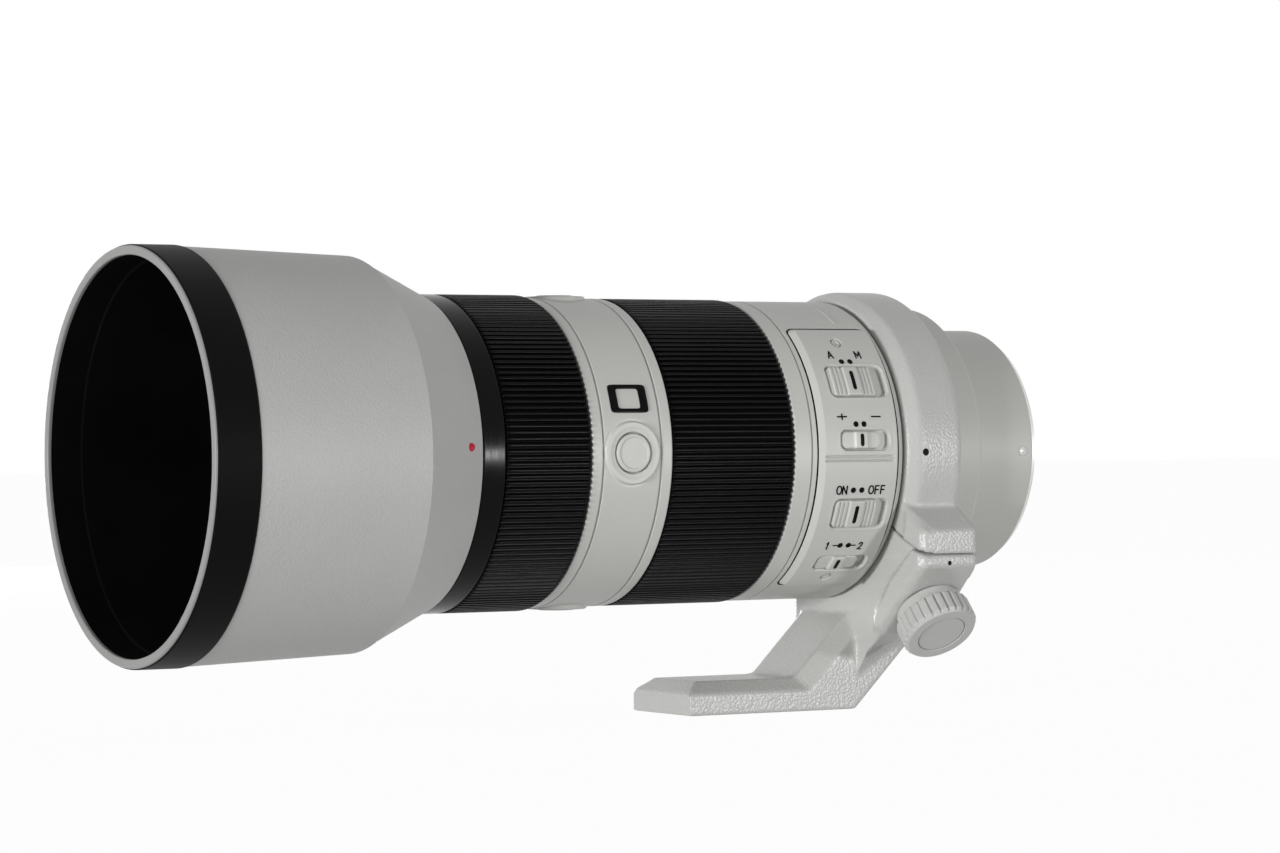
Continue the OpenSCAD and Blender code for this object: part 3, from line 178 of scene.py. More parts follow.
def rounded(corners, steps=4):
    """Closed outline through corners (a, b, radius). Each corner becomes an arc tangent to both its sides,
    and a support point beyond each end of the arc keeps the flat sides flat in shading."""
    data = np.array(corners, float)
    points, radius = data[:, :2], np.maximum(data[:, 2:], 0.02)
    back = np.roll(points, 1, 0) - points
    ahead = np.roll(points, -1, 0) - points
    back_len = np.linalg.norm(back, axis=1, keepdims=True)
    ahead_len = np.linalg.norm(ahead, axis=1, keepdims=True)
    back, ahead = back / back_len, ahead / ahead_len
    half = np.arccos(np.clip((back * ahead).sum(1, keepdims=True), -0.9999, 0.9999)) / 2
    reach = radius / np.tan(half)
    bisector = (back + ahead) / np.linalg.norm(back + ahead, axis=1, keepdims=True)
    centre = points + bisector * radius / np.sin(half)
    start = points + back * reach - centre
    end = points + ahead * reach - centre
    sweep = np.pi - 2 * half
    share = np.linspace(0, 1, steps + 1)[None, :, None]
    arc = (np.sin((1 - share) * sweep[:, None]) * start[:, None]
           + np.sin(share * sweep[:, None]) * end[:, None]) / np.sin(sweep[:, None])
    spare = np.minimum(0.5 * radius, 0.2 * np.maximum(np.minimum(back_len, ahead_len) - 2 * reach, 0.01))
    before = points + back * (reach + spare)
    after = points + ahead * (reach + spare)
    return np.concatenate([before[:, None], centre[:, None] + arc, after[:, None]], 1).reshape(-1, 2)


def grid_faces(rows, cols, wrap):
    """Quads between neighbouring rows of closed loops. Where it wraps, the last row joins the first."""
    row, col = np.meshgrid(np.arange(rows if wrap else rows - 1), np.arange(cols), indexing="ij")
    row_next, col_next = (row + 1) % rows, (col + 1) % cols
    quads = np.stack([row * cols + col, row_next * cols + col,
                      row_next * cols + col_next, row * cols + col_next], -1)
    return quads.reshape(-1, 4).tolist()


def placed(radius, station, angle):
    """Points round the lens axis: x = -r cos(angle), y = station, z = r sin(angle)."""
    return np.stack([-radius * np.cos(angle), station, radius * np.sin(angle)], -1)


def carried(radius, station, turns, wrap=True):
    """A closed loop of radius and station carried round the lens axis. Both may change with the turn.
    An open sweep gets end caps."""
    angle = np.radians(np.asarray(turns, float))[:, None]
    radius = np.atleast_2d(radius) + 0 * angle
    station = np.atleast_2d(station) + 0 * angle
    points = placed(radius, station, angle).reshape(-1, 3)
    rows, cols = radius.shape
    faces = grid_faces(rows, cols, wrap)
    if not wrap:
        first = list(range(cols))
        faces += [first, [(rows - 1) * cols + k for k in first]]
    return points, faces


def tube(lines):
    """Closed lines, side by side, as one closed tube."""
    grid = np.stack(lines, 1)
    return grid.reshape(-1, 3), grid_faces(*grid.shape[:2], True)


def outwards(turn):
    """Unit vector from the lens axis towards a turn."""
    phi = math.radians(turn)
    return np.array([-math.cos(phi), 0, math.sin(phi)])


def ring_angles(count):
    """A column of evenly spaced angles once round."""
    return np.arange(count)[:, None] * (2 * np.pi / count)


def stud(radius, height, turn, station, count=96, rise=0.0):
    """A loop of radius and height carried round an axis that points outwards at a turn and a station.
    Height is measured from the lens axis, so a point is station + height outwards + radius across."""
    angle = ring_angles(count)
    radius = np.atleast_2d(radius) + 0 * angle
    height = np.atleast_2d(height) + 0 * angle
    out = outwards(turn)
    along = np.array([0, 1.0, 0])
    across = np.cross(out, along)
    points = (np.array([0, station, rise]) + height[..., None] * out
              + (radius * np.cos(angle))[..., None] * along + (radius * np.sin(angle))[..., None] * across)
    return points.reshape(-1, 3), grid_faces(*radius.shape, True)


def stud_line(corners):
    """Radius and height along a rounded outline that starts and ends on a stud's own axis."""
    radius, height = rounded(corners).T
    return np.maximum(radius, 0), height


def joined(parts):
    """Several meshes as one."""
    points, faces, base = [], [], 0
    for part_points, part_faces in parts:
        points.append(np.asarray(part_points))
        faces += [[base + k for k in face] for face in part_faces]
        base += len(part_points)
    return np.concatenate(points), faces


def linked(name, data):
    """A new object in the scene."""
    thing = bpy.data.objects.new(name, data)
    bpy.context.scene.collection.objects.link(thing)
    return thing


def make_piece(name, shape, slot, body="barrel", node=None, sharp=38):
    """Puts points and faces into a mesh object that rides on a body. It stands for the node given, or else
    for the node of its own name, where there is one."""
    points, faces = shape
    mesh = bpy.data.meshes.new(name)
    mesh.from_pydata((np.asarray(points) * MM).tolist(), [], faces)
    edit = bmesh.new()
    edit.from_mesh(mesh)
    bmesh.ops.remove_doubles(edit, verts=edit.verts, dist=2e-7)
    bmesh.ops.recalc_face_normals(edit, faces=edit.faces)
    edit.to_mesh(mesh)
    edit.free()
    mesh.shade_smooth()
    mesh.set_sharp_from_angle(angle=math.radians(sharp))
    mesh.materials.append(finish(slot))
    piece = linked(name, mesh)
    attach(piece, body)
    if (node or name) in frame["nodes"]:
        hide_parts(node or name)


def turned(name, corners, slot, body="barrel", node=None, steps=4):
    """A piece turned on a lathe: (radius, station, rounding) corners carried round the lens axis."""
    radius, station = rounded(corners, steps).T
    make_piece(name, carried(radius, station, full_turn()), slot, body, node)


def bead(name, place, radius, base, heights, rims, slot, body="barrel", node=None, count=40, rise=0.0):
    """A small round piece at a (turn, station): heights of its foot, edge and crown over a base radius, and
    the roundings of foot and edge."""
    foot, edge, crown = (base + height for height in heights)
    line = stud_line([(0, foot, 0.02), (radius, foot, rims[0]), (radius, edge, rims[1]), (0, crown, 0.02)])
    make_piece(name, stud(*line, *place, count, rise), slot, body, node)


def smooth_step(value, low, high):
    """0 below low, 1 above high, and a smooth rise between."""
    t = np.clip((value - low) / (high - low), 0, 1)
    return t * t * (3 - 2 * t)


def box_distance(across, along, half_across, half_along, corner):
    """Signed distance to a rectangle with round corners, negative inside."""
    dx = np.abs(across) - half_across + corner
    dy = np.abs(along) - half_along + corner
    outside = np.hypot(np.maximum(dx, 0), np.maximum(dy, 0))
    return outside + np.minimum(np.maximum(dx, dy), 0) - corner


def relief(height, turns, along, under, wrap):
    """A plate round the axis: its outer radius is a grid over turns and stations, and a wall closes it."""
    rows = len(turns)
    radius = np.concatenate([height, np.full((rows, 2), under)], 1)
    station = np.concatenate([along, along[[-1, 0]]])
    return carried(radius, station, turns, wrap)


def both_ends(first, last, inset, between=()):
    """Rising places that come closer together towards both ends."""
    return np.concatenate([first + inset, between, last - inset[::-1]])


def end_round(along, first, last, radius):
    """Drop of a round edge at both ends of a barrel."""
    from_end = np.minimum(along - first, last - along)
    return radius * (1 - np.sqrt(1 - np.clip(1 - from_end / radius, 0, 1) ** 2))


def fine_groove(along, station):
    """Drop of a fine groove round a barrel."""
    return GROOVE_DEPTH * np.clip(1 - np.abs(along - station) / GROOVE_HALF, 0, 1) ** 0.5


# Finishes

def feed(tree, node, **values):
    """Sets sockets and properties of a node by name, with _ for a space. A socket as value is linked."""
    for label, value in values.items():
        socket = node.inputs.get(label.replace("_", " "))
        if socket is None:
            setattr(node, label, value)
        elif isinstance(value, bpy.types.NodeSocket):
            tree.links.new(value, socket)
        else:
            socket.default_value = value
    return node


def add_node(tree, kind, **values):
    """A new node with its sockets and properties set."""
    return feed(tree, tree.nodes.new(kind), **values)


def maths(tree, operation, first, second):
    """A Math node on two links or numbers; returns its output."""
    node = add_node(tree, "ShaderNodeMath", operation=operation)
    for socket, value in zip(node.inputs, (first, second)):
        if isinstance(value, (int, float)):
            socket.default_value = value
        else:
            tree.links.new(value, socket)
    return node.outputs[0]


def new_group(name, values, results):
    """A shader node group with a vector and named values as inputs; returns the group, its inputs by name
    and its output node."""
    group = bpy.data.node_groups.new(name, "ShaderNodeTree")
    group.interface.new_socket(name="Vector", in_out="INPUT", socket_type="NodeSocketVector")
    for label, value in values.items():
        socket = group.interface.new_socket(name=label, in_out="INPUT", socket_type="NodeSocketFloat")
        socket.default_value = value
    for label in results:
        group.interface.new_socket(name=label, in_out="OUTPUT", socket_type="NodeSocketFloat")
    return group, group.nodes.new("NodeGroupInput").outputs, group.nodes.new("NodeGroupOutput")


def crinkle_group():
    """Crinkle paint: soft cells with fine noise on top. Height feeds a bump, Speck a roughness."""
    group, given, sink = new_group(
        "crinkle_paint", {"Cells": 900.0, "Fine": 3000.0, "Fine Share": 0.3}, ["Height", "Speck"])
    cells = add_node(group, "ShaderNodeTexVoronoi", feature="SMOOTH_F1", Smoothness=0.6, Randomness=1.0,
                     Vector=given["Vector"], Scale=given["Cells"])
    fine = add_node(group, "ShaderNodeTexNoise", Detail=3.0, Roughness=0.6,
                    Vector=given["Vector"], Scale=given["Fine"])
    grain = maths(group, "MULTIPLY", fine.outputs["Fac"], given["Fine Share"])
    feed(group, sink, Height=maths(group, "ADD", cells.outputs["Distance"], grain), Speck=fine.outputs["Fac"])
    return group


def cloud_group():
    """Slow shade changes over a surface, as handling and uneven paint leave: 0 to 1 around one half."""
    group, given, sink = new_group("slow_cloud", {"Scale": 35.0}, ["Cloud"])
    noise = add_node(group, "ShaderNodeTexNoise", Detail=4.0, Roughness=0.55,
                     Vector=given["Vector"], Scale=given["Scale"])
    feed(group, sink, Cloud=noise.outputs["Fac"])
    return group


def lathe_group():
    """Fine lines round the lens axis, as turning leaves them: noise that is long round and short along."""
    group, given, sink = new_group("lathe_lines", {"Lines": 6000.0, "Break": 60.0}, ["Line"])
    split = add_node(group, "ShaderNodeSeparateXYZ", Vector=given["Vector"])
    merge = add_node(group, "ShaderNodeCombineXYZ")
    for axis, scale in (("X", "Break"), ("Y", "Lines"), ("Z", "Break")):
        feed(group, merge, **{axis: maths(group, "MULTIPLY", split.outputs[axis], given[scale])})
    noise = add_node(group, "ShaderNodeTexNoise", Scale=1.0, Detail=2.0, Vector=merge.outputs["Vector"])
    feed(group, sink, Line=noise.outputs["Fac"])
    return group


GROUP_MAKERS = {"crinkle": crinkle_group, "cloud": cloud_group, "lathe": lathe_group}
GROUPS = {}


def effect(tree, name, place, **values):
    """Puts a shared node group into a material with its own values; returns its outputs."""
    if name not in GROUPS:
        GROUPS[name] = GROUP_MAKERS[name]()
    return add_node(tree, "ShaderNodeGroup", node_tree=GROUPS[name], Vector=place, **values).outputs


def ranged(tree, value, low, high):
    """Maps a noise value from its usual range to low and high."""
    node = add_node(tree, "ShaderNodeMapRange", Value=value, From_Min=0.3, From_Max=0.7, To_Min=low,
                    To_Max=high)
    return node.outputs["Result"]


def surface(slot, colour, rough, swing, bump=None, lathe=None, metal=0.0, specular=0.5, coat=0.0,
            glass=0.0, rough_swing=0.05, beads=False):
    """One finish: a colour that drifts with a slow cloud, a roughness that drifts with it or with the bump,
    and a bump from crinkle cells (cells, fine, share, height in mm) or lathe lines (lines, height in mm).
    With beads the cells stand out instead of their borders."""
    material = bpy.data.materials.new(slot)
    material.use_nodes = True
    tree = material.node_tree
    place = add_node(tree, "ShaderNodeTexCoord").outputs["Object"]
    drift = effect(tree, "cloud", place)["Cloud"]
    mix = add_node(tree, "ShaderNodeMix", data_type="RGBA", Factor=ranged(tree, drift, 0.0, 1.0))
    ends = [socket for socket in mix.inputs if socket.type == "RGBA"]
    for socket, share in zip(ends, (1 - swing, 1 + swing)):
        socket.default_value = (*np.clip(np.array(colour) * share, 0, 1), 1)
    mixed = [socket for socket in mix.outputs if socket.type == "RGBA"][0]
    height, uneven = None, drift
    if bump:
        cells, fine, share, depth = bump
        crinkle = effect(tree, "crinkle", place, Cells=cells, Fine=fine, Fine_Share=share)
        height, uneven = crinkle["Height"], crinkle["Speck"]
    if lathe:
        lines, depth = lathe
        height = uneven = effect(tree, "lathe", place, Lines=lines)["Line"]
    shader = tree.nodes["Principled BSDF"]
    feed(tree, shader, Base_Color=mixed, Metallic=metal, Specular_IOR_Level=specular, Coat_Weight=coat,
         Transmission_Weight=glass,
         Roughness=ranged(tree, uneven, max(rough - rough_swing, 0.02), rough + rough_swing))
    if height is not None:
        tilt = add_node(tree, "ShaderNodeBump", Strength=1.0, Distance=depth * MM, Height=height,
                        invert=beads)
        feed(tree, shader, Normal=tilt.outputs["Normal"])
    return material


# Each slot: colour or the setting that holds it, roughness, swing of the colour, other values of surface()
FINISHES = {
    "white_satin": ("white_paint", 0.42, 0.02, dict(bump=(2600, 7000, 0.25, 0.012))),
    "white_plastic": ("white_paint", 0.45, 0.02, dict(bump=(3000, 8000, 0.3, 0.008))),
    "switch_grey": ("white_paint", 0.4, 0.025, dict(bump=(3000, 8000, 0.3, 0.006))),
    "hood_paint": ("hood_paint", 0.5, 0.025, dict(bump=(1500, 4200, 0.35, 0.05))),
    "collar_paint": ("collar_paint", 0.32, 0.02, dict(bump=(1500, 4800, 0.15, 0.085), beads=True)),
    "knob_grey": ("collar_paint", 0.42, 0.025, dict(bump=(2200, 6000, 0.3, 0.012))),
    "rim_grey": ((0.26, 0.26, 0.255), 0.4, 0.04, dict(lathe=(5000, 0.006))),
    "grip_rubber": ("black", 0.26, 0.25, dict(bump=(4000, 9000, 0.4, 0.006), specular=0.055)),
    "bumper_rubber": ("black", 0.5, 0.25, dict(bump=(3600, 9000, 0.5, 0.008), specular=0.05)),
    "black_satin": ("black", 0.2, 0.2, dict(lathe=(9000, 0.004), specular=0.08, rough_swing=0.07)),
    "gloss_black": ("black", 0.2, 0.1, dict(specular=0.06)),
    "black_plastic": ((0.018, 0.018, 0.019), 0.45, 0.2, dict(bump=(2500, 8000, 0.4, 0.01), specular=0.3)),
    "black_flock": ((0.0035, 0.0035, 0.0036), 0.95, 0.3, dict(bump=(5000, 12000, 0.8, 0.05), specular=0.02)),
    "black_metal": ((0.02, 0.02, 0.021), 0.4, 0.2, dict(lathe=(6000, 0.01))),
    "cam_metal": ((0.62, 0.6, 0.56), 0.3, 0.04, dict(metal=1.0, lathe=(5000, 0.006))),
    "mount_metal": ((0.66, 0.65, 0.63), 0.24, 0.04, dict(metal=1.0, lathe=(7000, 0.003))),
    "screw_steel": ((0.6, 0.6, 0.59), 0.3, 0.04, dict(metal=1.0, bump=(3000, 9000, 0.3, 0.006))),
    "contact_gold": ((0.83, 0.62, 0.25), 0.22, 0.04, dict(metal=1.0, bump=(4000, 9000, 0.3, 0.004))),
    "motor_copper": ((0.72, 0.38, 0.22), 0.35, 0.04, dict(metal=1.0, lathe=(3000, 0.05))),
    "board_green": ((0.03, 0.16, 0.07), 0.4, 0.15, dict(bump=(900, 3000, 0.3, 0.02))),
    "optical_glass": ((0.86, 0.93, 0.9), 0.03, 0.03, dict(glass=1.0, coat=0.6, rough_swing=0.01)),
    "white_bead": ((0.78, 0.78, 0.77), 0.25, 0.02, dict(bump=(2500, 7000, 0.3, 0.004))),
    "red_bead": ((0.55, 0.006, 0.03), 0.4, 0.05, dict(bump=(2500, 7000, 0.3, 0.004), specular=0.2)),
}
MADE = {}


def finish(slot):
    """The finish of a material slot, made once."""
    if slot not in MADE:
        colour, rough, swing, others = FINISHES[slot]
        if isinstance(colour, str):
            colour = getattr(bpy.context.scene.lens_colours, colour)
        MADE[slot] = surface(slot, colour, rough, swing, **others)
    return MADE[slot]


# Settings

class LensSizes(bpy.types.PropertyGroup):
    """Sizes of the details that the scene adds."""

    rib_count: IntProperty(
        name="Grip Ribs", description="Ribs round each rubber grip", default=160, min=60, max=240)
    rib_depth: FloatProperty(
        name="Rib Depth", description="Depth of the grooves between ribs", default=0.75 * MM, unit="LENGTH")
    flute_count: IntProperty(
        name="Knob Flutes", description="Flutes round the clamp knob", default=28, min=12, max=48)
    letter_height: FloatProperty(
        name="Letter Height", description="Height of the panel's letters", default=2.1 * MM, unit="LENGTH")
    dot_radius: FloatProperty(
        name="Dot Radius", description="Radius of the dots on the panel", default=0.74 * MM, unit="LENGTH")
    cast_voxel: FloatProperty(
        name="Cast Grid", description="Grid size of the soft cast collar", default=0.5 * MM, unit="LENGTH")
    focal_length: FloatProperty(
        name="Focal Length", description="Focal length of the camera in millimetres", default=120.94)


class LensColours(bpy.types.PropertyGroup):
    """Colours of the main finishes."""

    white_paint: FloatVectorProperty(
        name="White Paint", description="Barrels and panel", subtype="COLOR", default=(0.60, 0.60, 0.575))
    hood_paint: FloatVectorProperty(
        name="Hood Paint", description="Outside of the hood", subtype="COLOR", default=(0.50, 0.50, 0.49))
    collar_paint: FloatVectorProperty(
        name="Collar Paint", description="Cast tripod collar", subtype="COLOR", default=(0.55, 0.55, 0.535))
    black: FloatVectorProperty(
        name="Black", description="Rubber and rings", subtype="COLOR", default=(0.0024, 0.0024, 0.0025))
    floor: FloatVectorProperty(
        name="Floor", description="Floor under the lens", subtype="COLOR", default=(0.92, 0.92, 0.92))


# Hood

class LENS_OT_hood(bpy.types.Operator):
    """Turned hood: painted cone and tube, rubber bumper, front rim, black flocked inside and index bead"""

    bl_idname = "lens.hood"
    bl_label = "Hood"

    def execute(self, context):
        inner_r = RIM_R - 2.5
        crease_in_r = CREASE_R - HOOD_WALL + 0.3
        throat_y = FRONT_Y1 + 0.6
        throat_r = SPIGOT_R + 0.3
        bumper_in_r = BUMPER_R - 1.3
        seat_r = bumper_in_r - 0.05
        slope_step = 0.32
        cover_y = RIM_Y1 - 0.7
        turned("hood_shell", [
            (throat_r, HOOD_Y0, 0.15), (HOOD_REAR_R, HOOD_Y0, 0.3),
            (CREASE_R - slope_step, CREASE_Y - 0.1, 0.08), (CREASE_R, CREASE_Y + 0.1, 0.14),
            (HOOD_R, BUMPER_Y0, 0.12), (seat_r, BUMPER_Y0, 0.05),
            (seat_r, RIM_Y0, 0.05), (inner_r + 0.3, RIM_Y0, 0.05),
            (crease_in_r + 0.3, CREASE_Y, 0.5), (throat_r, throat_y, 0.2),
        ], "hood_paint", "hood")
        turned("hood_bumper", [
            (bumper_in_r, BUMPER_Y0, 0.1), (BUMPER_R, BUMPER_Y0, 0.55),
            (BUMPER_R, cover_y, 0.4), (bumper_in_r, cover_y, 0.1),
        ], "bumper_rubber", "hood")
        turned("hood_rim", [
            (inner_r, RIM_Y0, 0.1), (seat_r, RIM_Y0, 0.05), (seat_r, cover_y, 0.05),
            (RIM_R - 0.2, cover_y, 0.15), (RIM_R - 0.2, RIM_Y1, 0.45), (inner_r, RIM_Y1, 0.45),
        ], "rim_grey", "hood")
        turned("hood_lining", [
            (throat_r + 0.1, throat_y + 0.2, 0.05), (crease_in_r + 0.35, CREASE_Y, 0.3),
            (inner_r + 0.35, RIM_Y0 - 0.05, 0.05), (inner_r + 0.1, RIM_Y0 - 0.05, 0.05),
            (inner_r - 0.1, LINING_Y1 + 0.2, 0.05), (inner_r - 0.7, LINING_Y1, 0.2),
            (crease_in_r - 0.7, CREASE_Y + 0.6, 0.5), (throat_r - 0.1, throat_y + 0.5, 0.1),
        ], "black_flock", "hood")
        turn, station, radius = middle_of("hood_dot")
        bead("hood_index", (turn, station), 1.05, radius, (-0.6, 0.6, 0.75), (0.1, 0.4), "red_bead", "hood",
             "hood_dot")
        return {"FINISHED"}


# Front ring

class LENS_OT_front_ring(bpy.types.Operator):
    """Turned black front ring with its spigot and the ridges of its filter thread, and the name ring"""

    bl_idname = "lens.front_ring"
    bl_label = "Front Ring"

    def execute(self, context):
        ledge_y, seat_y, ledge_r = SPIGOT_Y - 0.4, FRONT_Y0 + 3.4, FILTER_R - 3
        groove_y, groove_r = SPIGOT_Y + 1.2, SPIGOT_R - 1.1
        pitch, ridge = 0.75, 0.22
        thread = []
        y = FRONT_Y1 - 0.35
        while y - pitch > ledge_y + 1.0:
            thread += [(FILTER_R + ridge, y, 0.03), (FILTER_R, y - pitch / 2, 0.03)]
            y -= pitch
        turned("front_ring", [
            (BARREL_BORE_R, FRONT_Y0, 0.1), (FRONT_R, FRONT_Y0, 0.3), (FRONT_R, SPIGOT_Y, 0.35),
            (SPIGOT_R, SPIGOT_Y, 0.1), (SPIGOT_R, groove_y, 0.1), (groove_r, groove_y, 0.1),
            (groove_r, groove_y + 2, 0.1), (SPIGOT_R, groove_y + 2, 0.1), (SPIGOT_R, FRONT_Y1, 0.25),
            (FILTER_R + ridge, FRONT_Y1, 0.12), *thread, (FILTER_R, ledge_y + 1.0, 0.03),
            (FILTER_R - 0.6, ledge_y + 1.0, 0.03), (FILTER_R - 0.6, ledge_y, 0.05), (ledge_r, ledge_y, 0.1),
            (ledge_r, seat_y, 0.1), (BARREL_BORE_R, seat_y, 0.1),
        ], "black_satin", node="front_barrel", steps=3)
        turned("name_ring", [
            (NAME_BORE_R, NAME_Y0, 0.05), (ledge_r - 0.05, NAME_Y1 - 1.0, 0.2), (NAME_R, NAME_Y1 - 1.0, 0.05),
            (NAME_R, NAME_Y1, 0.1), (NAME_R - 0.8, NAME_Y1, 0.1), (NAME_BORE_R, NAME_Y0 + 1.0, 0.1),
        ], "black_plastic")
        return {"FINISHED"}


# Grips

class LENS_OT_grips(bpy.types.Operator):
    """Rubber grips of the zoom and focus rings, with fine straight ribs that round off at both ends"""

    bl_idname = "lens.grips"
    bl_label = "Grips"

    def execute(self, context):
        sizes = context.scene.lens_sizes
        depth = sizes.rib_depth / MM
        share = np.array([0.0, 0.10, 0.17, 0.26, 0.48, 0.57, 0.64, 0.82])
        rise = np.array([0.0, 0.62, 0.92, 1.0, 1.0, 0.92, 0.62, 0.0])
        turns = ((np.arange(sizes.rib_count)[:, None] + share) * (360.0 / sizes.rib_count)).reshape(-1)
        ribs = np.tile(rise, sizes.rib_count)[:, None]
        inset = np.array([0.0, 0.12, 0.35, 0.6, 1.0, 1.6])
        end_rise = np.array([0.0, 0.35, 0.7, 0.9, 1.0, 1.0])
        end_root = np.array([-0.5, -0.2, 0.0, 0.0, 0.0, 0.0])
        lift = np.concatenate([end_rise, end_rise[::-1]])
        for name, body, (y0, y1, outer) in (
            ("zoom_grip", "zoom_control", (ZOOM_Y0, ZOOM_Y1, ZOOM_R)),
            ("focus_grip", "focus_control", (FOCUS_Y0, FOCUS_Y1, FOCUS_R)),
        ):
            along = both_ends(y0, y1, inset)
            root = outer - depth + np.concatenate([end_root, end_root[::-1]])
            height = root[None] + depth * ribs * lift[None]
            shape = relief(height, turns, along, outer - GRIP_WALL, True)
            make_piece(name, shape, "grip_rubber", body, sharp=60)
        return {"FINISHED"}


# Band with hold buttons

class LENS_OT_button_band(bpy.types.Operator):
    """White band with three ring-shaped bosses, fine grooves, the hold buttons and the framed badge"""

    bl_idname = "lens.button_band"
    bl_label = "Button Band"

    def execute(self, context):
        fine = np.linspace(-9.0, 9.0, 104) / BAND_R * 180 / np.pi
        coarse = np.linspace(fine[-1], 90 - fine[-1], 52)[1:-1]
        turns = np.concatenate([np.concatenate([fine, coarse]) + quarter for quarter in (0, 90, 180, 270)])
        edge = np.array([0.0, 0.06, 0.18, 0.35, 0.6])
        along = both_ends(BAND_Y0, BAND_Y1, edge, np.linspace(BAND_Y0 + 0.8, BAND_Y1 - 0.8, 148))
        turn_grid, y_grid = np.meshgrid(turns, along, indexing="ij")
        height = BAND_R - end_round(y_grid, BAND_Y0, BAND_Y1, 0.35)
        for groove_y in (BAND_Y0 + 3.2, BAND_Y1 - 3.2):
            height -= fine_groove(y_grid, groove_y)
        dish_depth, hollow_depth, moat_depth = 0.16, 1.6, 0.12
        for _, turn in BUTTON_TURNS:
            swing = (turn_grid - turn + 180) % 360 - 180
            away = np.hypot(np.radians(swing) * BAND_R, y_grid - BUTTON_Y)
            ring = smooth_step(-away, -BOSS_ROUND_R, -BOSS_ROUND_R + 0.6)
            flat_top = BOSS_TOP / np.cos(np.radians(np.clip(swing, -20, 20))) - BAND_R
            dish = dish_depth * smooth_step(-away, -BOSS_ROUND_R + 1.2, -BUTTON_R - 0.6)
            hollow = hollow_depth * smooth_step(-away, -BUTTON_R - 0.42, -BUTTON_R - 0.16)
            moat = moat_depth * np.exp(-((away - BOSS_ROUND_R - 0.1) / 0.22) ** 2)
            height += (flat_top - dish) * ring - hollow - moat
        shape = relief(height, turns, along, BARREL_BORE_R, True)
        make_piece("button_band", shape, "white_satin", sharp=75)
        low, top, dip_r = BUTTON_TOP - 3.2, BUTTON_TOP, BUTTON_R - 1.0
        line = stud_line([(0, low, 0.02), (BUTTON_R, low, 0.1), (BUTTON_R, top, 0.4),
                          (dip_r + 0.25, top, 0.2), (dip_r, top - 0.24, 0.2), (0, top - 0.2, 0.02)])
        for side, turn in BUTTON_TURNS:
            make_piece(side + "_button", stud(*line, turn, BUTTON_Y), "white_plastic", side + "_hold")
        self.badge()
        return {"FINISHED"}

    # Steps of the badge's frame from its outer to its inner edge: share of its width, height over the band
    FRAME_STEPS = ((0, -0.2), (0, 0.18), (0.06, 0.3), (0.14, 0.35), (0.86, 0.35), (0.94, 0.3), (1, 0.12),
                   (1, -0.2))
    FRAME_HALF, FRAME_SIDE, FRAME_END, FRAME_POWER = 3.7, 1.1, 2.2, 10.0

    def badge(self):
        """A frame with round corners laid on the band: loops |s / a|^p + |y / b|^p = 1, stepped inwards."""
        points = node_points("badge_frame")
        low, high = points.min(0), points.max(0)
        middle, half_y = (low + high) / 2, (high[1] - low[1]) / 2
        turn = math.atan2(middle[2], -middle[0])
        base = np.linspace(0, 2 * np.pi, 128, endpoint=False)
        power = self.FRAME_POWER
        bulge = (np.abs(np.cos(base)) ** power + np.abs(np.sin(base)) ** power) ** (-1 / power)
        loops = []
        for share, rise in self.FRAME_STEPS:
            across = (self.FRAME_HALF - share * self.FRAME_SIDE) * bulge * np.sin(base)
            along = (half_y - share * self.FRAME_END) * bulge * np.cos(base)
            loops.append(placed(BAND_R + rise, middle[1] + along, turn + across / BAND_R))
        make_piece("badge_frame", tube(loops), "gloss_black", sharp=60)


# Barrels

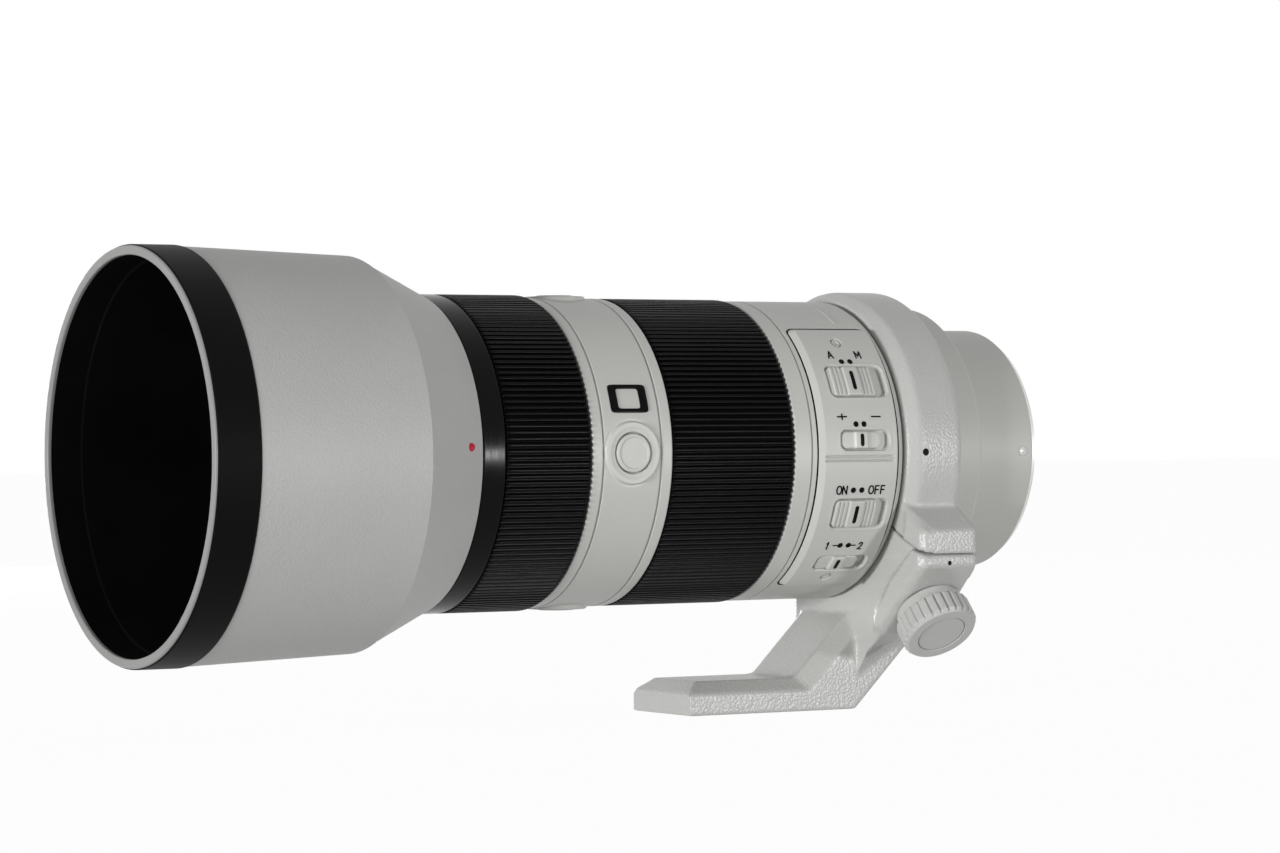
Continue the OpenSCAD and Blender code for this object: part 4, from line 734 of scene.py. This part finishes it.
class LENS_OT_barrels(bpy.types.Operator):
    """Turned white barrels behind the zoom ring, the collar seat and the index bead of the mount"""

    bl_idname = "lens.barrels"
    bl_label = "Barrels"

    def execute(self, context):
        make_piece("main_barrel", self.main_barrel(), "white_satin", sharp=75)
        # Painted shade: a black strip in the gap round the panel stands in for the gap's shadow
        make_piece("panel_gap_shade", self.seal(), "gloss_black")
        bore_r, tube_r, step_y = 25.6, REAR_R - 3.2, SHOULDER_Y + 2.2
        turned("rear_barrel", [
            (bore_r, REAR_Y0, 0.1), (REAR_R, REAR_Y0, 0.5), (REAR_R, SHOULDER_Y, 0.25),
            (SHOULDER_R, SHOULDER_Y, 0.7), (SHOULDER_R, SEAT_Y, 0.3), (SEAT_R, SEAT_Y, 0.2),
            (SEAT_R, REAR_Y1, 0.1), (BARREL_BORE_R, REAR_Y1, 0.1), (BARREL_BORE_R, step_y, 0.1),
            (tube_r, step_y, 0.1), (tube_r, REAR_Y0 + 3, 0.1), (bore_r, REAR_Y0 + 3, 0.1),
        ], "white_satin")
        bead("mount_index", middle_of("mount_dot")[:2], 1.35, REAR_R, (-0.6, 0.45, 0.62), (0.1, 0.5),
             "white_bead", node="mount_dot", count=48)
        return {"FINISHED"}

    def main_barrel(self):
        """The barrel's radius over turn and station: a slope behind the panel, a fine groove before the zoom
        ring, a plain bar at the top and a sunk bed for the panel, whose edge leaves a narrow gap."""
        edge_turns = np.degrees(np.linspace(-3.0, 3.0, 44) / BARREL_R)
        turns = np.unique(np.concatenate([full_turn(240) - 180, PANEL_TURN[0] + edge_turns,
                                          PANEL_TURN[1] + edge_turns]))
        groove_y = PANEL_Y1 + 2.0
        bar_y, bar_turn, bar_half, bar_rise = PANEL_Y0 + 7.2, 69.5, 8.5, 0.15
        slope, bed_depth = 1.0, 0.75
        ends = np.array([0, 0.05, 0.12, 0.22, 0.35])
        along = np.unique(np.concatenate([
            MAIN_Y0 + ends, MAIN_Y1 - ends, np.linspace(MAIN_Y0 + 0.6, MAIN_Y1 - 0.6, 60),
            PANEL_Y0 + np.linspace(-0.7, 2.4, 24), PANEL_Y1 + np.linspace(-2.4, 0.7, 24),
            groove_y + np.linspace(-0.36, 0.36, 11), bar_y + np.linspace(-0.5, 0.5, 15),
        ]))
        turn_grid, y_grid = np.meshgrid(turns, along, indexing="ij")
        rise = np.clip((y_grid - MAIN_Y0) / (PANEL_Y0 - 0.4 - MAIN_Y0), 0, 1)
        height = BARREL_R - slope + slope * rise
        height -= end_round(y_grid, MAIN_Y0, MAIN_Y1, 0.3)
        height -= fine_groove(y_grid, groove_y)
        height -= bed_depth * smooth_step(panel_edge(turn_grid, y_grid), -PANEL_GAP - 0.06, -PANEL_GAP + 0.04)
        bar = box_distance(np.radians(turn_grid - bar_turn) * BARREL_R, y_grid - bar_y, bar_half, 0.3, 0.2)
        height += bar_rise * smooth_step(-bar, -0.12, 0.1)
        return relief(height, turns, along, BARREL_BORE_R, True)

    def seal(self):
        """A dark strip in the gap round the panel, painted shade that darkens the gap: its outline, moved out
        along its normals, as a tube.
        """
        corners = ((-1, -1), (1, -1), (1, 1), (-1, 1))
        loop = rounded([(a * PANEL_HALF_S, b * PANEL_HALF_Y, PANEL_CORNER) for a, b in corners], 10)
        loop = np.concatenate([loop, loop[:1]])
        length = np.concatenate([[0], np.cumsum(np.linalg.norm(np.diff(loop, axis=0), axis=1))])
        steps = np.linspace(0, length[-1], 700, endpoint=False)
        line = np.stack([np.interp(steps, length, loop[:, 0]), np.interp(steps, length, loop[:, 1])], -1)
        run = np.roll(line, -1, 0) - np.roll(line, 1, 0)
        normal = np.stack([run[:, 1], -run[:, 0]], -1) / np.linalg.norm(run, axis=1, keepdims=True)
        inner, outer = line - 0.15 * normal, line + (PANEL_GAP + 0.05) * normal
        low, top = BARREL_R - 1.0, BARREL_R - 0.06
        return tube([
            placed(radius, PANEL_MID_Y + edge[:, 1], np.radians(PANEL_MID_TURN) + edge[:, 0] / PANEL_R)
            for edge, radius in ((inner, low), (outer, low), (outer, top), (inner, top))
        ])


# Switch panel

def panel_edge(turn, y):
    """Distance inwards from the panel's outline, a rectangle with round corners laid on the barrel."""
    across = np.radians(turn - PANEL_MID_TURN) * PANEL_R
    return -box_distance(across, y - PANEL_MID_Y, PANEL_HALF_S, PANEL_HALF_Y, PANEL_CORNER)


def panel_height(turn, y):
    """Outer radius of the panel over turn and station: a flat bevel of width w along the edge,
    r = R - drop * max(0, 1 - edge / w), then pockets with a soft rim, two divider grooves and screw wells."""
    edge = panel_edge(turn, y)
    rear = smooth_step(PANEL_MID_Y - y, PANEL_HALF_Y - 1.6, PANEL_HALF_Y - 0.9)
    bevel = PANEL_BEVEL - rear
    height = PANEL_R - PANEL_BEVEL_DROP * np.clip(1 - edge / bevel, 0, 1)
    for _, pocket_turn, length, width, _ in SWITCHES.values():
        across = np.radians(turn - pocket_turn) * PANEL_R
        pocket = box_distance(across, y - SWITCH_Y, width / 2, length / 2, POCKET_CORNER)
        height += 0.06 * np.exp(-((pocket - 0.42) / 0.3) ** 2)
        height -= POCKET_DEPTH * smooth_step(-pocket, -0.08, 0.12)
    split = np.radians(turn - DIVIDER_TURN) * PANEL_R
    inside = smooth_step(edge, 1.2, 1.8)
    for offset in (-DIVIDER_OFFSET, DIVIDER_OFFSET):
        height -= DIVIDER_DEPTH * inside * np.clip(1 - np.abs(split - offset) / 0.32, 0, 1) ** 0.7
    for screw_turn in PANEL_SCREW_TURNS:
        away = np.hypot(np.radians(turn - screw_turn) * PANEL_R, y - PANEL_MID_Y)
        height -= WELL_DEPTH * smooth_step(-away, -WELL_R, -WELL_R + 0.22)
    return PANEL_FLOOR_R + (height - PANEL_FLOOR_R) * smooth_step(edge, -0.12, 0.0)


class LENS_OT_switch_panel(bpy.types.Operator):
    """Switch panel as a relief over the barrel: bevels, switch pockets, a double divider and screw wells"""

    bl_idname = "lens.switch_panel"
    bl_label = "Switch Panel"

    def execute(self, context):
        turns = np.linspace(*PANEL_TURN, 490)
        along = np.linspace(PANEL_Y0, PANEL_Y1, 152)
        height = panel_height(*np.meshgrid(turns, along, indexing="ij"))
        shape = relief(height, turns, along, PANEL_FLOOR_R - 0.1, False)
        make_piece("switch_panel", shape, "white_plastic", sharp=75)
        count, head_r = 64, 1.2
        low, top, dip = PANEL_R - 1.4, PANEL_R - 0.18, PANEL_R - 0.45
        radius, height = stud_line([(0, low, 0.02), (head_r, low, 0.05), (head_r, top, 0.12),
                                    (0.55, top, 0.05), (0.35, dip, 0.05), (0, dip, 0.02)])
        star = 1 + 0.75 * np.cos(2 * ring_angles(count)) ** 8
        recess = (radius > 0.2) & (radius < 0.8) & (height > PANEL_R - 0.6)
        radius = np.minimum(np.where(recess, radius * star, radius), head_r)
        screws = [stud(radius, height, turn, PANEL_MID_Y, count) for turn in PANEL_SCREW_TURNS]
        make_piece("panel_screws", joined(screws), "white_plastic")
        return {"FINISHED"}


# Slide switches

class LENS_OT_sliders(bpy.types.Operator):
    """Slide switches: a cap with round corners, cross ribs beside a centre ridge, and a black index line"""

    bl_idname = "lens.sliders"
    bl_label = "Slide Switches"

    def execute(self, context):
        base, cap, ridge = PANEL_R - 1.5, PANEL_R - 0.16, PANEL_R + 0.45
        rim = np.array([0, 0.05, 0.12, 0.22, 0.4, 0.7, 1.1])
        rib_start, rib_pitch, rib_rise = 2.1, 1.2, 0.34
        for node, (body, turn, length, width, ribs) in SWITCHES.items():
            half_y = (length - SWITCH_TRAVEL) / 2 - SLIDE_GAP
            half_s = width / 2 - SLIDE_GAP
            y0 = SWITCH_Y + SWITCH_TRAVEL / 2
            along = np.linspace(-half_y, half_y, int(half_y * 26))
            across = both_ends(-half_s, half_s, rim, np.linspace(1.5 - half_s, half_s - 1.5, 9))
            s_grid, y_grid = np.meshgrid(across, along, indexing="ij")
            edge = -box_distance(s_grid, y_grid, half_s, half_y, 1.5)
            height = np.full(s_grid.shape, cap)
            for i in range(1, ribs + 1):
                for side in (-1, 1):
                    rib = np.abs(y_grid - side * (rib_start + rib_pitch * i))
                    height += rib_rise * smooth_step(-rib, -0.48, -0.24)
            middle = 2.5 if ribs else 2.2
            height += (ridge - cap) * smooth_step(-np.abs(y_grid), -middle, -middle + 0.6)
            height = base + (height - base) * smooth_step(edge, -0.02, 0.3) ** 0.6
            turns = turn + np.degrees(across / PANEL_R)
            shape = relief(height, turns, y0 + along, base - 0.02, False)
            make_piece(node, shape, "switch_grey", body, sharp=60)
            half_line = half_s * (0.64 if ribs else 0.69)
            line = stripe(turn, y0, half_line, 0.56, ridge - 0.1, ridge + 0.03)
            make_piece(node + "_line", line, "gloss_black", body)
        return {"FINISHED"}


# Printed marks

def capsule(half, radius, count):
    """Outline of a bar with round ends, upright: rows of (across to the rear, up the turn)."""
    cap = np.linspace(0, np.pi, count)
    top = np.stack([radius * np.cos(cap), half - radius + radius * np.sin(cap)], -1)
    return np.concatenate([top, -top])


def on_panel(flat, turn, station):
    """Lays flat points on the panel: across runs to the rear, up runs round and out stands off it."""
    turns = turn + np.degrees(flat[:, 1] / PANEL_R)
    y = station - flat[:, 0]
    return placed(panel_height(turns, y) + flat[:, 2], y, np.radians(turns))


def printed(outline, turn, station):
    """A thin prism of a flat outline, laid on the panel."""
    count = len(outline)
    flat = np.concatenate([np.column_stack([outline, np.full(count, out)]) for out in (-0.05, 0.1)])
    points = on_panel(flat, turn, station)
    ring = list(range(count))
    sides = [[k, (k + 1) % count, count + (k + 1) % count, count + k] for k in ring]
    return points, sides + [ring[::-1], [count + k for k in ring]]


def stripe(turn, station, half, width, low, top):
    """A bar with round ends that follows the turn. Half its width is w sqrt(1 - d^2), with d the share of
    an end cap."""
    cap = np.linspace(-1, 1, 33)
    across = half * np.sin(cap * np.pi / 2)
    past = np.clip((np.abs(across) - half + width) / width, 0, 0.995)
    reach = (width * np.sqrt(1 - past ** 2))[:, None]
    station_rows = station + np.concatenate([-reach, -reach, reach, reach], 1)
    radius_rows = np.tile([low, top, top, low], (len(across), 1))
    return carried(radius_rows, station_rows, turn + np.degrees(across / top), False)


# Strokes of the labels in a cell one high: corners of open lines, across to the rear and up
ROUND_O = [(0.42 * math.sin(k * math.pi / 8), 0.5 * math.cos(k * math.pi / 8)) for k in range(17)]
LETTERS = {
    "A": [[(-0.42, -0.5), (0, 0.5), (0.42, -0.5)], [(-0.27, -0.16), (0.27, -0.16)]],
    "M": [[(-0.43, -0.5), (-0.43, 0.5), (0, -0.2), (0.43, 0.5), (0.43, -0.5)]],
    "O": [ROUND_O],
    "N": [[(-0.37, -0.5), (-0.37, 0.5), (0.37, -0.5), (0.37, 0.5)]],
    "F": [[(-0.28, -0.5), (-0.28, 0.5), (0.32, 0.5)], [(-0.28, 0.02), (0.24, 0.02)]],
    "1": [[(-0.18, 0.3), (0.04, 0.5), (0.04, -0.5)]],
    "2": [[(-0.29, 0.24), (-0.2, 0.43), (0, 0.5), (0.2, 0.43), (0.28, 0.24), (0.2, 0.02), (-0.3, -0.5),
           (0.3, -0.5)]],
}
LETTER_PITCH = 0.82
LETTER_WIDTH = 0.8
STROKE_HALF = 0.18


def lettering(text, height, turn, station):
    """A word of round-ended strokes, centred at a turn and a station on the panel."""
    parts = []
    for place, letter in enumerate(text):
        shift = np.array([(place - (len(text) - 1) / 2) * LETTER_PITCH, 0])
        for line in LETTERS[letter]:
            corners = (np.array(line) * [LETTER_WIDTH, 1] + shift) * height
            for start, end in zip(corners, corners[1:]):
                run = end - start
                length = np.hypot(*run)
                along = run / length
                bar = capsule(length / 2 + STROKE_HALF, STROKE_HALF, 6)
                outline = (start + end) / 2 + bar[:, :1] * [along[1], -along[0]] + bar[:, 1:] * along
                parts.append(printed(outline, turn, station))
    return joined(parts)


class LENS_OT_marks(bpy.types.Operator):
    """Printed marks: generic switch labels, index dots and bars on the panel, and the dots of the collar"""

    bl_idname = "lens.marks"
    bl_label = "Marks"

    # Turn and station of each mark on the panel; bars start with half their length and half their width
    WORDS = (("A", 37.8, 65.0), ("M", 37.8, 56.6), ("ON", -14.5, 66.2), ("OFF", -14.5, 55.6),
             ("1", -37.4, 66.3), ("2", -37.6, 56.2))
    DOTS = ((34.65, 62.3), (34.65, 59.75), (9.74, 62.3), (9.74, 59.86), (-14.55, 62.75), (-14.55, 60.2),
            (-37.3, 62.4), (-37.3, 59.9))
    BARS = ((0.95, 0.15, -37.35, 63.75), (0.95, 0.15, -37.35, 58.55), (1.5, 0.19, 12.5, 66.3),
            (1.5, 0.19, 12.5, 56.0))
    UPRIGHT = (0.85, 0.19, 12.5, 66.3)
    # Turn and station of the two dots on the collar, and the height of the lower one
    ARCH_DOT, BLOCK_DOT, BLOCK_DOT_Z = (-0.7, 42.3), (0, 39.3), -28.9

    def execute(self, context):
        sizes = context.scene.lens_sizes
        letter, dot = sizes.letter_height / MM, sizes.dot_radius / MM
        parts = [lettering(text, letter, turn, y) for text, turn, y in self.WORDS]
        parts += [printed(capsule(dot, dot, 14), turn, y) for turn, y in self.DOTS]
        parts += [printed(capsule(half, width, 5)[:, ::-1], turn, y) for half, width, turn, y in self.BARS]
        half, width, turn, y = self.UPRIGHT
        parts.append(printed(capsule(half, width, 5), turn, y))
        make_piece("panel_marks", joined(parts), "gloss_black", sharp=60)
        bead("arch_dot", self.ARCH_DOT, 0.95, COLLAR_OUT_R, (-0.6, 0.04, 0.04), (0.05, 0.12), "gloss_black",
             "arch")
        bead("block_dot", self.BLOCK_DOT, 0.6, BLOCK_FACE, (-0.8, 0.03, 0.03), (0.05, 0.1), "gloss_black",
             "collar", count=32, rise=self.BLOCK_DOT_Z)
        return {"FINISHED"}


# Collar

class LENS_OT_collar(bpy.types.Operator):
    """Cast tripod collar: the two halves with soft edges, rounded on a fine grid and smoothed"""

    bl_idname = "lens.collar"
    bl_label = "Tripod Collar"

    # Outlines (x, z) of the ribs: the front of both clamp blocks and the web beside the arm
    UPPER_RIB = [(-37.5, -14.0), (-47.62, -20.75), (-47.62, -26.4), (-37.0, -22.35)]
    UPPER_FACE = [(-40.0, -17.2), (-45.4, -20.9), (-45.4, -25.56), (-38.5, -22.92)]
    LOWER_RIB = [(-47.62, -27.12), (-42.0, -24.96), (-32.0, -32.0), (-24.0, -41.5), (-22.5, -47.9),
                 (-27.6, -47.6), (-47.62, -29.75)]
    LOWER_FACE = [(-45.4, -26.3), (-43.0, -25.4), (-33.5, -33.5), (-26.0, -42.5), (-25.5, -45.5),
                  (-28.0, -45.9), (-45.4, -30.2)]
    WEB_REAR = [(-26.5, -47.9), (-13.5, -48.3), (-13.5, -50.0), (-15.2, -49.6), (-19.5, -48.8)]
    WEB_FRONT = [(-26.5, -47.9), (-13.5, -48.3), (-13.5, -60.0), (-16.2, -56.5), (-19.5, -52.4)]
    # Outlines at rising stations, for each rib of a node
    RIBS = {
        "collar_arch": [[(43.0, UPPER_RIB), (46.3, UPPER_RIB), (47.6, UPPER_FACE)]],
        "collar_foot": [[(43.0, LOWER_RIB), (46.3, LOWER_RIB), (48.0, LOWER_FACE)],
                        [(33.0, WEB_REAR), (46.2, WEB_FRONT)]],
    }

    def add_rib(self, edit, sections):
        """Adds a closed block through outlines at rising stations; the soft grid joins it to the casting."""
        rings = [[edit.verts.new((x * MM, y * MM, z * MM)) for x, z in outline] for y, outline in sections]
        sides = []
        for low, high in zip(rings, rings[1:]):
            for k in range(len(low)):
                after = (k + 1) % len(low)
                sides.append(edit.faces.new((low[k], low[after], high[after], high[k])))
        caps = [edit.faces.new(rings[0][::-1]), edit.faces.new(rings[-1])]
        bmesh.ops.recalc_face_normals(edit, faces=sides + caps)

    def execute(self, context):
        voxel = context.scene.lens_sizes.cast_voxel
        for name, body in (("collar_arch", "arch"), ("collar_foot", "collar")):
            mesh = frame["nodes"][name].data.copy()
            mesh.name = name + "_cast"
            edit = bmesh.new()
            edit.from_mesh(mesh)
            bmesh.ops.remove_doubles(edit, verts=edit.verts, dist=2e-6)
            for sections in self.RIBS[name]:
                self.add_rib(edit, sections)
            edit.to_mesh(mesh)
            edit.free()
            mesh.materials.clear()
            mesh.materials.append(finish("collar_paint"))
            piece = linked(name + "_cast", mesh)
            remesh = piece.modifiers.new("soft_grid", "REMESH")
            remesh.mode = "VOXEL"
            remesh.voxel_size = voxel
            remesh.use_smooth_shade = True
            smooth = piece.modifiers.new("soft_edges", "SMOOTH")
            smooth.factor = 0.5
            smooth.iterations = 9
            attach(piece, body)
            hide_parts(name)
        return {"FINISHED"}


# Knob

class LENS_OT_knob(bpy.types.Operator):
    """Clamp knob: plain neck, fluted grip with soft rims, ring groove and flat face disc, on its screw"""

    bl_idname = "lens.knob"
    bl_label = "Clamp Knob"

    def execute(self, context):
        sizes = context.scene.lens_sizes
        reach = node_points("clamp_knob") @ outwards(KNOB_TURN)
        tip, top = float(reach.min()), float(reach.max())
        grip0, neck0, groove, face = top - 6.5, top - 9.5, top - 0.55, top - 0.22
        grip_r, neck_r, screw_r, face_r = 10.0, 8.6, 2.4, 6.4
        radius, height = stud_line([
            (0, tip, 0.02), (screw_r, tip, 0.2), (screw_r, neck0, 0.1), (neck_r, neck0, 0.3),
            (neck_r, grip0, 0.12), (grip_r - 0.15, grip0, 0.3), (grip_r, grip0 + 0.6, 0.3),
            (grip_r, top - 1.2, 0.3), (grip_r - 0.9, top, 0.5), (face_r + 0.12, top, 0.15),
            (face_r + 0.12, groove, 0.05), (face_r - 0.12, groove, 0.05), (face_r - 0.12, face, 0.1),
            (0, face, 0.02),
        ])
        count = sizes.flute_count * 16
        flute = smooth_step(np.cos(ring_angles(count) * sizes.flute_count), 0.25, 0.85)
        outer = smooth_step(radius, grip_r - 1.0, grip_r - 0.2) * (height < top - 0.9)
        shape = stud(radius - 0.62 * flute * outer[None], height, KNOB_TURN, KNOB_Y, count)
        make_piece("clamp_knob", shape, "knob_grey", "knob", sharp=50)
        return {"FINISHED"}


# Inner parts

class LENS_OT_inner_parts(bpy.types.Operator):
    """Finishes for the parts that keep their frame shape: mount, tubes, cells, glass, motor and board"""

    bl_idname = "lens.inner_parts"
    bl_label = "Inner Parts"

    def execute(self, context):
        for name, node in frame["nodes"].items():
            node.data.materials.clear()
            node.data.materials.append(finish(NODE_SLOT[name]))
        return {"FINISHED"}


# Stage

class LENS_OT_stage(bpy.types.Operator):
    """Pale floor, white surroundings, three soft lamps and the camera"""

    bl_idname = "lens.stage"
    bl_label = "Stage"

    # Each lamp: place, aim, width, height, power in watts
    LAMPS = {
        "lamp_right": ((-1.10, -0.42, -0.015), (0.0, 0.1, -0.015), 0.12, 0.1, 4.4),
        "lamp_left": ((-0.45, 1.35, 0.01), (0.0, 0.1, 0.0), 0.4, 0.14, 12.0),
        "lamp_far": ((1.25, 0.0, 0.08), (0.0, 0.1, 0.0), 0.5, 0.25, 5.0),
    }
    FILL_STRENGTH = 0.22
    FLOOR_SHOWN = 0.97
    FLOOR_HALF = 6.0
    CAMERA_PLACE = (-0.9547, 0.6652, 0.00653)
    CAMERA_LOOK = Vector((0.8616, -0.5075, 0))
    CAMERA_ROLL = -0.0067

    def execute(self, context):
        scene = context.scene
        scene.view_settings.view_transform = "Standard"
        self.world(scene)
        self.floor(scene)
        for name, settings in self.LAMPS.items():
            self.lamp(name, *settings)
        self.camera(scene)
        return {"FINISHED"}

    def seen_directly(self, tree):
        """1 for rays that show the background: from the camera, from gloss and through glass."""
        path = tree.nodes.new("ShaderNodeLightPath")
        gloss = maths(tree, "MAXIMUM", path.outputs["Is Camera Ray"], path.outputs["Is Glossy Ray"])
        return maths(tree, "MAXIMUM", gloss, path.outputs["Is Transmission Ray"])

    def mixed(self, tree, share, lit, shown, output):
        """Sends a mix of two shaders to the output node: the lit one, and by its share the shown one."""
        mix = tree.nodes.new("ShaderNodeMixShader")
        for socket, source in zip(mix.inputs, (share, lit.outputs[0], shown.outputs[0])):
            tree.links.new(source, socket)
        feed(tree, tree.nodes[output], Surface=mix.outputs[0])

    def world(self, scene):
        """White where it is seen, and a weaker fill as light."""
        scene.world = bpy.data.worlds.new("white_room")
        scene.world.use_nodes = True
        tree = scene.world.node_tree
        shown = feed(tree, tree.nodes["Background"], Color=(1, 1, 1, 1), Strength=1.0)
        fill = add_node(tree, "ShaderNodeBackground", Color=(1, 1, 1, 1), Strength=self.FILL_STRENGTH)
        self.mixed(tree, self.seen_directly(tree), fill, shown, "World Output")

    def floor(self, scene):
        """A wide floor at the foot's sole that fades into the white and keeps a share of its shadow."""
        low, half = CAD_BOX[0].z, self.FLOOR_HALF
        corners = [(-half, -half, low), (half, -half, low), (half, half, low), (-half, half, low)]
        mesh = bpy.data.meshes.new("floor")
        mesh.from_pydata(corners, [], [(0, 1, 2, 3)])
        floor = linked("floor", mesh)
        material = bpy.data.materials.new("pale_floor")
        material.use_nodes = True
        tree = material.node_tree
        lit = feed(tree, tree.nodes["Principled BSDF"], Base_Color=(*scene.lens_colours.floor, 1),
                   Roughness=0.9, Specular_IOR_Level=0.0)
        glow = add_node(tree, "ShaderNodeEmission", Color=(1, 1, 1, 1), Strength=1.0)
        share = maths(tree, "MULTIPLY", self.seen_directly(tree), self.FLOOR_SHOWN)
        self.mixed(tree, share, lit, glow, "Material Output")
        mesh.materials.append(material)

    def lamp(self, name, place, aim, width, height, power):
        """A soft rectangular lamp."""
        data = bpy.data.lights.new(name, "AREA")
        data.shape = "RECTANGLE"
        data.size, data.size_y = width, height
        data.energy = power
        lamp = linked(name, data)
        lamp.location = place
        lamp.rotation_euler = (Vector(aim) - Vector(place)).to_track_quat("-Z", "Y").to_euler()

    def camera(self, scene):
        """The photograph's view: level, with a slight roll."""
        data = bpy.data.cameras.new("camera")
        data.sensor_width = 36.0
        data.lens = scene.lens_sizes.focal_length
        data.clip_end = 50
        camera = linked("camera", data)
        camera.location = self.CAMERA_PLACE
        level = self.CAMERA_LOOK.to_track_quat("-Z", "Y")
        camera.rotation_euler = (level @ Quaternion((0, 0, 1), self.CAMERA_ROLL)).to_euler()
        scene.camera = camera


# Panel and registration

OPERATORS = (
    LENS_OT_hood, LENS_OT_front_ring, LENS_OT_grips, LENS_OT_button_band, LENS_OT_barrels,
    LENS_OT_switch_panel, LENS_OT_sliders, LENS_OT_marks, LENS_OT_collar, LENS_OT_knob,
    LENS_OT_inner_parts, LENS_OT_stage,
)


class LENS_PT_panel(bpy.types.Panel):
    """Lists the steps that dress the lens"""

    bl_idname = "LENS_PT_panel"
    bl_label = "Zoom Lens"
    bl_space_type = "VIEW_3D"
    bl_region_type = "UI"
    bl_category = "Zoom Lens"

    def draw(self, context):
        for group in (context.scene.lens_sizes, context.scene.lens_colours):
            for label in group.__annotations__:
                self.layout.prop(group, label)
        for operator in OPERATORS:
            self.layout.operator(operator.bl_idname)


CLASSES = (LensSizes, LensColours, *OPERATORS, LENS_PT_panel)


def register():
    for item in CLASSES:
        bpy.utils.register_class(item)
    bpy.types.Scene.lens_sizes = PointerProperty(type=LensSizes)
    bpy.types.Scene.lens_colours = PointerProperty(type=LensColours)


def unregister():
    del bpy.types.Scene.lens_colours
    del bpy.types.Scene.lens_sizes
    for item in reversed(CLASSES):
        bpy.utils.unregister_class(item)


def main():
    """Builds every piece and the stage."""
    register()
    for operator in OPERATORS:
        group, name = operator.bl_idname.split(".")
        getattr(getattr(bpy.ops, group), name)()


if __name__ == "__main__":
    main()
